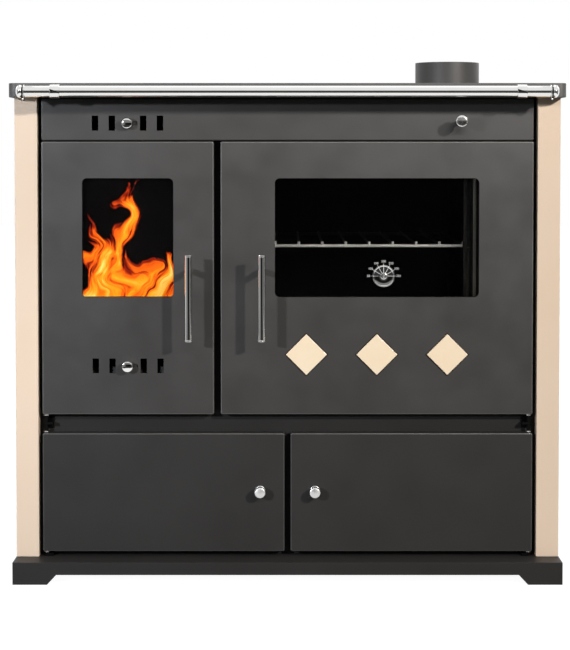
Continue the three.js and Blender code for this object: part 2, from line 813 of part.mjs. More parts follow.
function makeFlueChamber() {
  const x = spanAbout(flueX, chamberWidth);
  const y = spanAbout(flueY, chamberWidth);
  const z = [ovenTopZ + heavySheet + seatGap, bodyTop];
  const windowY = widen([y[0], y[0] + sheet], cutOverrun);
  return cut(block(x, y, z), [
    block(widen(x, -sheet), widen(y, -sheet), widen(z, cutOverrun)),
    block(spanAbout(flueX, chamberWindowWidth), windowY, spanAbout(damperZ, chamberWindowHeight)),
  ]);
}

const damper = new THREE.Group();
stove.add(damper);

function addDamper() {
  const plateY = [damperPlateBackY - heavySheet, damperPlateBackY];
  const plateX = widen(spanAbout(flueX, chamberWindowWidth), damperSideLap);
  const plateZ = widen(spanAbout(damperZ, chamberWindowHeight), damperEndLap);
  const rodY = [upperPanelY - damperStandOut, plateY[0]];
  const head = [0, damperKnobLength];
  addPiece(damper, 'damper_plate', block(plateX, plateY, plateZ), darkSteel());
  addPiece(damper, 'damper_rod', bar('y', [damperX, damperZ], damperRodDiameter, rodY, pinSides), chrome());
  const knob = makeKnob(damperKnobDiameter, head, damperRodDiameter, 0);
  addPiece(damper, 'damper_knob', knob, chrome(), [damperX, rodY[0], damperZ]);
}

addPiece(carcass, 'flue_spigot', makeFlueSpigot(), enamel(), [flueX, flueY, 0]);
addPiece(carcass, 'flue_chamber', makeFlueChamber(), darkSteel());
addDamper();

// Towel rail
const railZ = hobUnderside + railAboveHobUnderside;
const railLegX = hobWidth / 2 - railEndInset - railDiameter / 2;

// A quarter bend of the rail, from its leg round to its run
class QuarterBend extends THREE.Curve {
  constructor(side) {
    super();
    this.side = side;
  }

  getPoint(t, target = new THREE.Vector3()) {
    const turn = t * Math.PI / 2;
    const x = railLegX - railBendRadius * (1 - Math.cos(turn));
    const y = railY + railBendRadius * (1 - Math.sin(turn));
    return target.set(this.side * x, y, 0);
  }
}

function makeRailElbow(side) {
  const section = new THREE.Shape().absarc(0, 0, elbowDiameter / 2, 0, Math.PI * 2);
  const bend = new THREE.ExtrudeGeometry(section, {
    steps: railBendSteps,
    curveSegments: tubeSides,
    extrudePath: new QuarterBend(side),
  });
  bend.translate(0, 0, railZ);
  const bendEndX = railLegX - railBendRadius;
  const socketX = onSide(side, bendEndX - elbowSocket, bendEndX + weldOverlap);
  const legY = [railY + railBendRadius - weldOverlap, hobFrontY];
  return joined([
    solidOf(bend),
    bar('x', [railY, railZ], elbowDiameter, socketX, tubeSides),
    bar('y', [side * railLegX, railZ], elbowDiameter, legY, tubeSides),
  ]);
}

function makeTowelRail() {
  const runX = spanAbout(0, 2 * (railLegX - railBendRadius));
  const run = bar('x', [railY, railZ], railDiameter, runX, tubeSides);
  return joined([run, makeRailElbow(-1), makeRailElbow(1)]);
}

function makeRailBracket() {
  const width = spanAbout(0, railBracketWidth);
  const neck = spanAbout(0, railBracketNeck);
  const clamp = bar('x', [0, 0], railBracketHeight, width, tubeSides);
  const arm = block(neck, [0, hobFrontY - railY], neck);
  const bore = bar('x', [0, 0], railDiameter + 2 * seatGap, widen(width, cutOverrun), tubeSides);
  return cut(joined([clamp, arm]), [bore]);
}

const railBracketX = hobWidth / 2 - railBracketInset;
addPiece(carcass, 'towel_rail', makeTowelRail(), chrome());
addPiece(carcass, 'rail_bracket_left', makeRailBracket(), chrome(), [-railBracketX, railY, railZ]);
addPiece(carcass, 'rail_bracket_right', makeRailBracket(), chrome(), [railBracketX, railY, railZ]);

// Air slides
function addAirSlide(parent, label, middleZ, faceY) {
  addPiece(parent, `${label}_air_slide`, makeSlide(fireDoorMiddleX, middleZ, faceY + sheet), darkSteel());
  addPiece(parent, `${label}_air_knob`, makeAirKnob(), chrome(), [fireDoorMiddleX, faceY, middleZ]);
}

const secondaryAir = new THREE.Group();
const primaryAir = new THREE.Group();
stove.add(secondaryAir, primaryAir);
addAirSlide(secondaryAir, 'secondary', upperSlotsZ, upperPanelY);
addAirSlide(primaryAir, 'primary', fireSlotsZ, doorFaceY);

// Upper doors
const upperDoorZ = [upperDoorBottom, upperDoorTop];

function windowCutter(windowX, by, y) {
  return upright(roundedRectangle(widen(windowX, by), widen(windowZ, by), windowCornerRadius), y, windowCornerSteps);
}

function spindleHole(handleX, y) {
  return bar('y', [handleX, spindleZ], spindleDiameter + 2 * runningGap, y, tubeSides);
}

function doorPinHoles(side, z) {
  return [hingePinHole(side, z[0]), hingePinHole(side, z[1])];
}

function makeUpperDoorPanel(doorX, windowX, hingeSide, handleX, extraCuts, extras) {
  const through = [doorFaceY - cutOverrun, doorFaceY + sheet + cutOverrun];
  const pierced = cut(tray(doorX, upperDoorZ, doorFaceY, doorDepth), [
    windowCutter(windowX, 0, through),
    spindleHole(handleX, through),
    ...doorPinHoles(hingeSide, upperDoorZ),
    ...extraCuts(through),
  ]);
  return joined([pierced, ...extras]);
}

// Cast inner frame: a plate behind the glass, and a skirt that enters the front frame's opening
function makeInnerFrame(doorX, windowX, openingX, openingZ, hingeSide, handleX, extraCuts) {
  const latchMargin = sheet + seatGap;
  const margins = hingeSide < 0 ? [innerPlateHingeMargin, latchMargin] : [latchMargin, innerPlateHingeMargin];
  const plateX = [doorX[0] + margins[0], doorX[1] - margins[1]];
  const plate = block(plateX, [innerPlateY, innerSkirtY], widen(upperDoorZ, -latchMargin));
  const skirtX = widen(openingX, -innerFrameClearance);
  const skirtZ = widen(openingZ, -innerFrameClearance);
  const hollowY = [innerSkirtY, innerRearY + cutOverrun];
  const skirt = cut(block(skirtX, [innerPlateY, innerRearY], skirtZ), [
    block(widen(skirtX, -innerSkirtWall), hollowY, widen(skirtZ, -innerSkirtWall)),
  ]);
  const through = widen([innerPlateY, innerSkirtY], cutOverrun);
  return cut(joined([plate, skirt]), [
    windowCutter(windowX, 0, through),
    spindleHole(handleX, through),
    ...extraCuts(through),
  ]);
}

function makeSeal(windowX) {
  const y = [doorFaceY + sheet, glassFrontY];
  const inner = (glassMargin - sealWidth) / 2;
  return cut(windowCutter(windowX, inner + sealWidth, y), [windowCutter(windowX, inner, widen(y, cutOverrun))]);
}

function makeGlass(windowX) {
  const y = [glassFrontY, glassFrontY + glassThickness];
  return block(widen(windowX, glassMargin), y, widen(windowZ, glassMargin));
}

// Handle bar with rims at its ends. Its origin is on the spindle's axis.
function makeHandleBar() {
  const r = handleDiameter / 2;
  const z = [handleBottom - spindleZ, handleTop - spindleZ];
  const round = turned([
    [0, z[0]],
    [r + handleRim, z[0]],
    [r + handleRim, z[0] + handleRimLength],
    [r, z[0] + handleRimLength],
    [r, z[1] - handleRimLength],
    [r + handleRim, z[1] - handleRimLength],
    [r + handleRim, z[1]],
    [0, z[1]],
  ], tubeSides);
  const socketY = [-runningGap, r + cutOverrun];
  return cut(round, [bar('y', [0, 0], tenonDiameter + 2 * runningGap, socketY, pinSides)]);
}

// Spindle through the door, with a tenon in the handle bar and the latch tongue on its inner end
function makeLatchSpindle(handleX, tongueLength) {
  const middle = [handleX, spindleZ];
  const shoulderY = handleY + handleDiameter / 2 + seatGap;
  const tongueEndY = tongueY + tongueThickness;
  const tongueZ = [spindleZ - tongueWidth / 2, spindleZ + tongueLength];
  return joined([
    bar('y', middle, tenonDiameter, [shoulderY - tenonLength, shoulderY + weldOverlap], pinSides),
    bar('y', middle, spindleDiameter, [shoulderY, tongueEndY], tubeSides),
    block(spanAbout(handleX, tongueWidth), [tongueY, tongueEndY], tongueZ),
  ]);
}

function addLatch(parent, label, handleX, tongueLength) {
  addPiece(parent, `${label}_handle_bar`, makeHandleBar(), chrome(), [handleX, handleY, spindleZ]);
  addPiece(parent, `${label}_latch_spindle`, makeLatchSpindle(handleX, tongueLength), chrome());
}

const fireDoor = new THREE.Group();
const fireLatch = new THREE.Group();
stove.add(fireDoor, fireLatch);

function airCuts(through) {
  return [
    ...slotCutters(fireDoorMiddleX, fireSlotsZ, through),
    stemSlotCutter(fireDoorMiddleX, fireSlotsZ, through),
  ];
}

function airPassage(through) {
  const z = spanAbout(fireSlotsZ, slotHeight + 2 * airPassageMargin);
  return [block(spanAbout(fireDoorMiddleX, 2 * slideHalfWidth), through, z)];
}

const fireGuides = slideGuides(fireDoorMiddleX, fireSlotsZ, doorFaceY + sheet);
const fireFrame = makeInnerFrame(
  fireDoorX, fireWindowX, fireOpeningX, fireOpeningZ, -1, fireHandleX, airPassage);
addPiece(
  fireDoor, 'fire_door_panel',
  makeUpperDoorPanel(fireDoorX, fireWindowX, -1, fireHandleX, airCuts, fireGuides), enamel());
addPiece(fireDoor, 'fire_door_inner_frame', fireFrame, castIron());
addPiece(fireDoor, 'fire_window_glass', makeGlass(fireWindowX), glass());
addPiece(fireDoor, 'fire_window_seal', makeSeal(fireWindowX), rope());
addLatch(fireLatch, 'fire', fireHandleX, fireOpeningX[1] - fireHandleX + tongueCatch);

const ovenDoor = new THREE.Group();
const ovenLatch = new THREE.Group();
stove.add(ovenDoor, ovenLatch);

const noCuts = () => [];
const ovenFrame = makeInnerFrame(
  ovenDoorX, ovenWindowX, ovenOpeningX, ovenOpeningZ, 1, ovenHandleX, noCuts);
addPiece(
  ovenDoor, 'oven_door_panel',
  makeUpperDoorPanel(ovenDoorX, ovenWindowX, 1, ovenHandleX, noCuts, []), enamel());
addPiece(ovenDoor, 'oven_door_inner_frame', ovenFrame, castIron());
addPiece(ovenDoor, 'oven_window_glass', makeGlass(ovenWindowX), glass());
addPiece(ovenDoor, 'oven_window_seal', makeSeal(ovenWindowX), rope());
addLatch(ovenLatch, 'oven', ovenHandleX, ovenHandleX - ovenOpeningX[0] + tongueCatch);

// Three square tiles stood on their corners
function makeTile() {
  const reach = tileSide / Math.SQRT2;
  return upright(polygon([[0, -reach], [reach, 0], [0, reach], [-reach, 0]]), [-tileThickness, 0]);
}

['left', 'middle', 'right'].forEach((label, index) => {
  const x = ovenDoorMiddleX + (index - 1) * tilePitch;
  const place = [x, doorFaceY, upperDoorBottom + tileAboveDoorBottom];
  addPiece(ovenDoor, `diamond_tile_${label}`, makeTile(), tileGlaze(), place);
});

// Oven thermometer: a rimmed dial on the glass, and a needle that turns on the dial's post
function makeDial() {
  const r = dialDiameter / 2;
  const post = dialPostDiameter / 2;
  const rimTop = dialThickness + dialRimHeight;
  const postTop = dialThickness + 2 * runningGap + needleHubThickness;
  return turnedForward([
    [0, 0],
    [r, 0],
    [r, rimTop],
    [r - dialRim, rimTop],
    [r - dialRim, dialThickness],
    [post, dialThickness],
    [post, postTop],
    [0, postTop],
  ], knobSides);
}

function makeNeedle() {
  const hubY = [-needleHubThickness, 0];
  const armY = [-needleThickness, 0];
  const bore = dialPostDiameter + 2 * runningGap;
  const arm = block([-needleLength, needleTail], armY, spanAbout(0, needleWidth));
  const hub = bar('y', [0, 0], needleHubDiameter, hubY, knobSides);
  return cut(joined([hub, arm]), [bar('y', [0, 0], bore, widen(hubY, cutOverrun), pinSides)]);
}

const thermometer = new THREE.Group();
stove.add(thermometer);
const dialPlace = [ovenDoorMiddleX + dialRightOfWindowMiddle, glassFrontY, windowZ[0] + dialAboveWindowBottom];
const needlePlace = [dialPlace[0], glassFrontY - dialThickness - runningGap, dialPlace[2]];
addPiece(ovenDoor, 'thermometer_dial', makeDial(), chrome(), dialPlace);
addPiece(thermometer, 'thermometer_needle', makeNeedle(), chrome(), needlePlace);

// Storage doors
const storageDoorWidth = doorOuterX - storageDoorGap / 2;
const storageDoorZ = [storageDoorBottom, storageDoorTop];

function addStorageDoor(side, label) {
  const door = new THREE.Group();
  stove.add(door);
  const x = onSide(side, doorOuterX - storageDoorWidth, doorOuterX);
  const panel = cut(tray(x, storageDoorZ, doorFaceY, doorDepth), doorPinHoles(side, storageDoorZ));
  const head = [storageKnobNeck, storageKnobNeck + storageKnobLength];
  const knobX = side * (storageDoorGap / 2 + storageKnobInset);
  const knobPlace = [knobX, doorFaceY, storageDoorBottom + storageKnobAboveDoorBottom];
  addPiece(door, `storage_door_${label}`, panel, enamel());
  addPiece(door, `storage_knob_${label}`, makeKnob(knobDiameter, head, storageNeckDiameter, 0), chrome(), knobPlace);
}

addStorageDoor(-1, 'left');
addStorageDoor(1, 'right');

// Firebox
function makeFireboxCasing() {
  const top = hobTop - casingTopBelowHob;
  const z = [casingBottom, top];
  const wallsY = [ovenFrontY - cutOverrun, casingBackY - heavySheet];
  const passageY = [ovenFrontY + hearthFrontInset, casingBackY - hearthFrontInset];
  const passageX = widen([casingRightX - heavySheet, casingRightX], castGap);
  const walls = cut(block([casingLeftX, casingRightX], [ovenFrontY, casingBackY], z), [
    block(hearthX, wallsY, widen(z, cutOverrun)),
    block(passageX, passageY, [top - gasPassageHeight, top + cutOverrun]),
  ]);
  const hearthY = [ovenFrontY + hearthFrontInset, casingBackY - weldOverlap];
  const hearth = block(widen(hearthX, weldOverlap), hearthY, [hearthZ, hearthTop]);
  const clear = widen([hearthZ, hearthTop], cutOverrun);
  return cut(joined([walls, hearth]), [
    block(grateX, grateY, [hearthZ + hearthLedge, clear[1]]),
    block(widen(grateX, -grateLedge), widen(grateY, -grateLedge), clear),
  ]);
}

function makeGrate() {
  const x = widen(grateX, -castGap);
  const y = widen(grateY, -castGap);
  const z = [hearthZ + hearthLedge + seatGap, hearthTop];
  const field = widen(x, -grateRim);
  const pitch = (field[1] - field[0]) / grateBars;
  const gap = pitch * (1 - grateBarShare);
  const slots = Array.from({ length: grateBars }, (_, index) => {
    const middle = field[0] + pitch * (index + 1 / 2);
    return block(spanAbout(middle, gap), widen(y, -grateRim), widen(z, cutOverrun));
  });
  return cut(block(x, y, z), slots);
}

function addBricks() {
  const z = [hearthTop + seatGap, hearthTop + seatGap + brickHeight];
  const backY = casingBackY - heavySheet - seatGap;
  const sideY = [ovenFrontY + brickFrontInset, backY];
  const left = [hearthX[0] + seatGap, hearthX[0] + seatGap + brickThickness];
  const right = [hearthX[1] - seatGap - brickThickness, hearthX[1] - seatGap];
  const between = [left[1] + seatGap, right[0] - seatGap];
  addPiece(carcass, 'firebrick_left', block(left, sideY, z), fireclay());
  addPiece(carcass, 'firebrick_right', block(right, sideY, z), fireclay());
  addPiece(carcass, 'firebrick_back', block(between, [backY - brickThickness, backY], z), fireclay());
}

function makeAshPan() {
  const x = widen(fireOpeningX, -ashPanSideClearance);
  const y = [frameRearY + ashPanFrontInset, casingBackY - ashPanRearGap];
  const z = [casingBottom, casingBottom + ashPanHeight];
  const pan = cut(block(x, y, z), [
    block(widen(x, -sheet), widen(y, -sheet), [z[0] + sheet, z[1] + cutOverrun]),
  ]);
  const pullX = spanAbout((x[0] + x[1]) / 2, ashPanPullWidth);
  const pullZ = [z[1] - 2 * ashPanPullHeight, z[1] - ashPanPullHeight];
  return joined([pan, block(pullX, [y[0] - ashPanPullDepth, y[0] + sheet / 2], pullZ)]);
}

addPiece(carcass, 'firebox_casing', makeFireboxCasing(), darkSteel());
addPiece(carcass, 'fire_grate', makeGrate(), castIron());
addBricks();
addPiece(carcass, 'ash_pan', makeAshPan(), darkSteel());

// Oven
const runnerTopZ = ovenTopZ - runnerBelowTop;

function makeOvenBox() {
  const x = [ovenLeftX, ovenRightX];
  const y = [ovenFrontY, ovenBackY];
  const z = [ovenBottomZ, ovenTopZ];
  const insideY = [ovenFrontY - cutOverrun, ovenBackY - heavySheet];
  const shell = cut(block(widen(x, heavySheet), y, widen(z, heavySheet)), [block(x, insideY, z)]);
  const runnerZ = [runnerTopZ - heavySheet, runnerTopZ];
  const runnerY = [ovenFrontY + runnerFrontInset, ovenBackY - weldOverlap];
  const skidY = widen(y, -ovenSkidInset);
  const skidZ = [deckTop + seatGap, ovenBottomZ - heavySheet + weldOverlap];
  return joined([
    shell,
    block([x[0] - weldOverlap, x[0] + runnerWidth], runnerY, runnerZ),
    block([x[1] - runnerWidth, x[1] + weldOverlap], runnerY, runnerZ),
    block([x[0] + ovenSkidInset, x[0] + ovenSkidInset + ovenSkidWidth], skidY, skidZ),
    block([x[1] - ovenSkidInset - ovenSkidWidth, x[1] - ovenSkidInset], skidY, skidZ),
  ]);
}

// Wire rack: a square loop with cross wires laid on it from front to back
function makeRack() {
  const r = rackWire / 2;
  const x = widen([ovenLeftX, ovenRightX], -rackSideGap - r);
  const y = widen([frameRearY + rackFrontBehindFrame, ovenBackY - heavySheet - rackRearClearance], -r);
  const loopZ = runnerTopZ + seatGap + r;
  const crossZ = loopZ + r;
  const loop = [
    ...y.map((place) => bar('x', [place, loopZ], rackWire, widen(x, r), rackSides)),
    ...x.map((place) => bar('y', [place, loopZ], rackWire, y, rackSides)),
  ];
  const wires = [x[0] - r + rackLeftInset, x[1] + r - rackRightInset];
  const pitch = (wires[1] - wires[0]) / (rackCrossWires - 1);
  const cross = Array.from({ length: rackCrossWires }, (_, index) => {
    const place = wires[0] + index * pitch;
    return bar('y', [place, crossZ], rackCrossWire, widen(y, r), rackSides);
  });
  return joined([...loop, ...cross]);
}

addPiece(carcass, 'oven_box', makeOvenBox(), darkSteel());
addPiece(carcass, 'oven_rack', makeRack(), chrome());

export default stove;
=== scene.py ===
import math

import bmesh
import bpy
from mathutils import Matrix, Vector


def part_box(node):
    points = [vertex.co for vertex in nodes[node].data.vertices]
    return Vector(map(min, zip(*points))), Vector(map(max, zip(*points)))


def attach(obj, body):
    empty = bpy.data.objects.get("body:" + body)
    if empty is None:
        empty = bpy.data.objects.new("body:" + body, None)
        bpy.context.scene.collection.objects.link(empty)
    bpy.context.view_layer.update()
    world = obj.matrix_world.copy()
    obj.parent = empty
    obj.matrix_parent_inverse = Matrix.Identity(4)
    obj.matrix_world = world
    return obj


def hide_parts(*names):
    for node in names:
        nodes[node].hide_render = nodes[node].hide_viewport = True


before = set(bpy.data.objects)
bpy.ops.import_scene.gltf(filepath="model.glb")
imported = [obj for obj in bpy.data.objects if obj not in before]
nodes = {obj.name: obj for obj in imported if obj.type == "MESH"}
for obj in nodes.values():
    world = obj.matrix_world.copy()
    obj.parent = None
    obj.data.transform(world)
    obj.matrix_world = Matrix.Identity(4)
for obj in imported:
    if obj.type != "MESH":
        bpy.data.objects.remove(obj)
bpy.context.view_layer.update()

scene = bpy.context.scene

# Places that several pieces share, in metres

DOOR_FRONT, HOB_FRONT, HOB_TOP = -0.241, -0.281, 0.814
PIN_X, PIN_Y = 0.397, -0.231                        # hinge pins, left and right
RAIL_Y, RAIL_Z = -0.308, 0.7996                     # middle of the towel rail's tube
LEG_X, CLAMP_X = 0.4262, 0.372                      # the rail's elbows and clamps, left and right
FLUE_X, FLUE_Y = 0.302, 0.209
RING_PLACE = (-0.252, -0.041)                       # middle of the hob's ring and lid
FIRE_HANDLE_X, OVEN_HANDLE_X = -0.160, -0.042
AIR_X = -0.26155                                    # knobs of both air slides
DAMPER_X, DAMPER_Z = 0.281, 0.753
STORAGE_KNOB_X, STORAGE_KNOB_Z = 0.045, 0.146       # left and right
DIAL_X, DIAL_Z, GLASS_Y = 0.15765, 0.4995, -0.235   # oven thermometer, and the glass under it
WINDOW_X, TILE_Z = -0.195, 0.371                    # middle of the fire window, and of the tiles


# Finishes

class Recipe:
    """A finish in the making. Its patterns read Object coordinates, in metres."""

    def __init__(self, name, colour, roughness, metallic=0.0, **sockets):
        self.material = bpy.data.materials.new(name)
        self.material.use_nodes = True
        self.tree = self.material.node_tree
        self.shader = self.tree.nodes["Principled BSDF"]
        self.shader.inputs["Base Color"].default_value = (*colour, 1.0)
        self.shader.inputs["Roughness"].default_value = roughness
        self.shader.inputs["Metallic"].default_value = metallic
        for socket, value in sockets.items():
            self.shader.inputs[socket.replace("_", " ")].default_value = value
        self.place = self.tree.nodes.new("ShaderNodeTexCoord").outputs["Object"]

    def node(self, kind, values=None, **settings):
        made = self.tree.nodes.new(kind)
        for setting, value in settings.items():
            setattr(made, setting, value)
        for socket, value in (values or {}).items():
            made.inputs[socket].default_value = value
        return made

    def link(self, source, socket):
        self.tree.links.new(source, socket)

    def plug(self, value, socket):
        """Links a node's output to the socket, or sets the socket to a plain value."""
        if isinstance(value, bpy.types.NodeSocket):
            self.link(value, socket)
        else:
            socket.default_value = value

    def axes(self, vector=None):
        """The X, Y and Z of a vector, or of the place on the piece."""
        split = self.node("ShaderNodeSeparateXYZ")
        self.link(vector or self.place, split.inputs[0])
        return split.outputs

    def mapped(self, scale=(1, 1, 1), shift=(0, 0, 0), vector=None):
        mapping = self.node("ShaderNodeMapping", {"Location": shift, "Scale": scale})
        self.link(vector or self.place, mapping.inputs["Vector"])
        return mapping.outputs["Vector"]

    def noise(self, scale, detail, roughness=0.5, vector=None):
        made = self.node("ShaderNodeTexNoise", {"Scale": scale, "Detail": detail, "Roughness": roughness})
        self.link(vector or self.place, made.inputs["Vector"])
        return made.outputs[0]

    def span(self, source, low, high, out_low=0.0, out_high=1.0):
        made = self.node("ShaderNodeMapRange", {"From Min": low, "From Max": high, "To Min": out_low,
                                                "To Max": out_high})
        self.link(source, made.inputs["Value"])
        return made.outputs["Result"]

    def maths(self, operation, first, second):
        made = self.node("ShaderNodeMath", operation=operation)
        self.plug(first, made.inputs[0])
        self.plug(second, made.inputs[1])
        return made.outputs[0]

    def mixed(self, amount, first, second):
        """A mix of two colours, which go to sockets 6 and 7 of the node, with its factor in socket 0."""
        made = self.node("ShaderNodeMix", data_type="RGBA")
        for value, index in ((amount, 0), (first, 6), (second, 7)):
            self.plug(value, made.inputs[index])
        return made.outputs[2]

    def ramp(self, source, stops):
        made = self.node("ShaderNodeValToRGB")
        self.link(source, made.inputs["Fac"])
        band = made.color_ramp
        for element, (place, colour) in zip(band.elements, (stops[0], stops[-1])):
            element.position = place
            element.color = (*colour, 1.0)
        for place, colour in stops[1:-1]:
            band.elements.new(place).color = (*colour, 1.0)
        return made.outputs["Color"]

    def tint(self, amount, colour):
        """Mixes a second colour over what the base colour has so far."""
        base = self.shader.inputs["Base Color"]
        so_far = base.links[0].from_socket if base.is_linked else base.default_value
        self.link(self.mixed(amount, so_far, (*colour, 1.0)), base)

    def gloss(self, source, smooth, rough):
        self.link(self.span(source, 0.3, 0.7, smooth, rough), self.shader.inputs["Roughness"])

    def relief(self, height, distance):
        """Adds a bump of a height in metres to those that the finish has so far."""
        bump = self.node("ShaderNodeBump", {"Strength": 1.0, "Distance": distance})
        normal = self.shader.inputs["Normal"]
        if normal.is_linked:
            self.link(normal.links[0].from_socket, bump.inputs["Normal"])
        self.link(height, bump.inputs["Height"])
        self.link(bump.outputs["Normal"], normal)


def satin_paint(name, colour, cloud, roughness, grain=0.00004, **sockets):
    """Sprayed or enamelled sheet: faint clouding, a fine orange peel and uneven gloss."""
    paint = Recipe(name, colour, roughness, **sockets)
    paint.tint(paint.span(paint.noise(5.0, 3.0), 0.35, 0.7, 0.0, 0.5), cloud)
    paint.tint(paint.span(paint.noise(900.0, 1.0), 0.3, 0.75, 0.0, 0.35), cloud)
    paint.gloss(paint.noise(14.0, 3.0), roughness - 0.04, roughness + 0.05)
    paint.relief(paint.noise(650.0, 2.0), grain)
    return paint.material


def shade_blackened_paint(name, colour, cloud):
    """Stove paint blackened from the foot of the upper doors upwards: painted shade in the gaps round the doors."""
    paint = Recipe(name, colour, 0.7, Specular_IOR_Level=0.12)
    paint.tint(paint.span(paint.noise(5.0, 3.0), 0.35, 0.7, 0.0, 0.6), cloud)
    # near black from z 0.272 to 0.278 upwards: painted shade
    paint.tint(paint.span(paint.axes()["Z"], 0.272, 0.278), (0.0035, 0.0033, 0.0031))
    paint.gloss(paint.noise(14.0, 3.0), 0.66, 0.76)
    paint.relief(paint.noise(650.0, 2.0), 0.00006)
    return paint.material


def chrome_plate(name, shade=0.78, roughness=0.05):
    plate = Recipe(name, (shade, shade, shade * 0.985), roughness, metallic=1.0)
    plate.gloss(plate.noise(60.0, 3.0), roughness * 0.7, roughness * 1.5)
    plate.tint(plate.span(plate.noise(25.0, 2.0), 0.4, 0.8, 0.0, 0.25),
               (shade * 0.86, shade * 0.85, shade * 0.82))
    plate.relief(plate.noise(60.0, 1.0), 0.000012)
    return plate.material


def shaded_oven_wire(name):
    """Plated wire, bright along its front bar and darkened further in: painted shade inside the oven."""
    wire = Recipe(name, (1.0, 0.99, 0.97), 0.36, metallic=0.25)
    # darker from y -0.174 to -0.166 inwards: painted shade
    wire.tint(wire.span(wire.axes()["Y"], -0.174, -0.166), (0.045, 0.04, 0.036))
    wire.gloss(wire.noise(90.0, 2.0), 0.38, 0.5)
    wire.relief(wire.noise(200.0, 2.0), 0.00003)
    return wire.material


def rough_casting(name, colour, grain_height=0.00018, level=0.3):
    cast = Recipe(name, colour, 0.65, Specular_IOR_Level=level)
    cast.tint(cast.span(cast.noise(9.0, 4.0), 0.35, 0.75), tuple(c * 1.6 for c in colour))
    cast.gloss(cast.noise(60.0, 3.0), 0.55, 0.75)
    cast.relief(cast.noise(420.0, 3.0, 0.6), grain_height)
    return cast.material


def ground_iron(name, middle=None):
    """Cast iron ground flat: grinding marks run along the hob, or in rings round a turned disc."""
    iron = Recipe(name, (0.085, 0.083, 0.08), 0.42, metallic=0.75)
    if middle is None:
        marks = iron.noise(1.0, 3.0, 0.6, iron.mapped(scale=(9.0, 1300.0, 30.0)))
    else:
        rings = iron.node("ShaderNodeTexWave", {"Scale": 180.0, "Distortion": 1.2, "Detail": 3.0,
                                                "Detail Scale": 2.0}, wave_type="RINGS", rings_direction="Z")
        iron.link(iron.mapped(shift=(-middle[0], -middle[1], 0)), rings.inputs["Vector"])
        marks = rings.outputs["Fac"]
    iron.tint(iron.span(marks, 0.3, 0.75, 0.0, 0.55), (0.14, 0.136, 0.13))
    iron.tint(iron.span(iron.noise(6.0, 4.0), 0.4, 0.75, 0.0, 0.5), (0.06, 0.056, 0.052))
    iron.gloss(marks, 0.34, 0.5)
    iron.relief(marks, 0.00003)
    iron.relief(iron.noise(500.0, 2.0), 0.00004)
    return iron.material


def speckled_enamel(name):
    enamel = Recipe(name, (0.0035, 0.0035, 0.004), 0.45, Specular_IOR_Level=0.2)
    specks = enamel.node("ShaderNodeTexVoronoi", {"Scale": 260.0})
    enamel.link(enamel.place, specks.inputs["Vector"])
    enamel.tint(enamel.span(specks.outputs["Distance"], 0.13, 0.08), (0.035, 0.037, 0.043))
    enamel.gloss(enamel.noise(30.0, 2.0), 0.4, 0.52)
    enamel.relief(enamel.noise(180.0, 2.0), 0.00006)
    return enamel.material


def fired_clay(name):
    clay = Recipe(name, (0.46, 0.34, 0.22), 0.92)
    clay.tint(clay.span(clay.noise(35.0, 5.0, 0.6), 0.35, 0.7), (0.6, 0.49, 0.36))
    clay.tint(clay.span(clay.noise(7.0, 3.0), 0.45, 0.7, 0.0, 0.6), (0.2, 0.15, 0.11))
    pits = clay.noise(260.0, 3.0, 0.6)
    clay.tint(clay.span(pits, 0.62, 0.7, 0.0, 0.6), (0.16, 0.12, 0.09))
    clay.relief(clay.span(pits, 0.7, 0.5), 0.0006)
    return clay.material


def braided_rope(name):
    rope = Recipe(name, (0.13, 0.125, 0.118), 0.95)
    weave = rope.node("ShaderNodeTexWave", {"Scale": 170.0, "Distortion": 1.0}, bands_direction="DIAGONAL")
    rope.link(rope.place, weave.inputs["Vector"])
    rope.tint(rope.span(weave.outputs["Fac"], 0.3, 0.8), (0.24, 0.23, 0.215))
    rope.relief(weave.outputs["Fac"], 0.0007)
    return rope.material


def window_glass(name, colour):
    pane = Recipe(name, colour, 0.0, IOR=1.47, Transmission_Weight=1.0)
    pane.gloss(pane.noise(20.0, 3.0), 0.0, 0.015)
    return pane.material


def glazed_tile(name):
    glaze = Recipe(name, (0.98, 0.80, 0.57), 0.16, Coat_Weight=0.4, Coat_Roughness=0.06)
    glaze.tint(glaze.span(glaze.noise(30.0, 4.0), 0.4, 0.75, 0.0, 0.5), (1.0, 0.85, 0.64))
    glaze.gloss(glaze.noise(80.0, 2.0), 0.12, 0.2)
    glaze.relief(glaze.noise(120.0, 2.0), 0.00008)
    return glaze.material


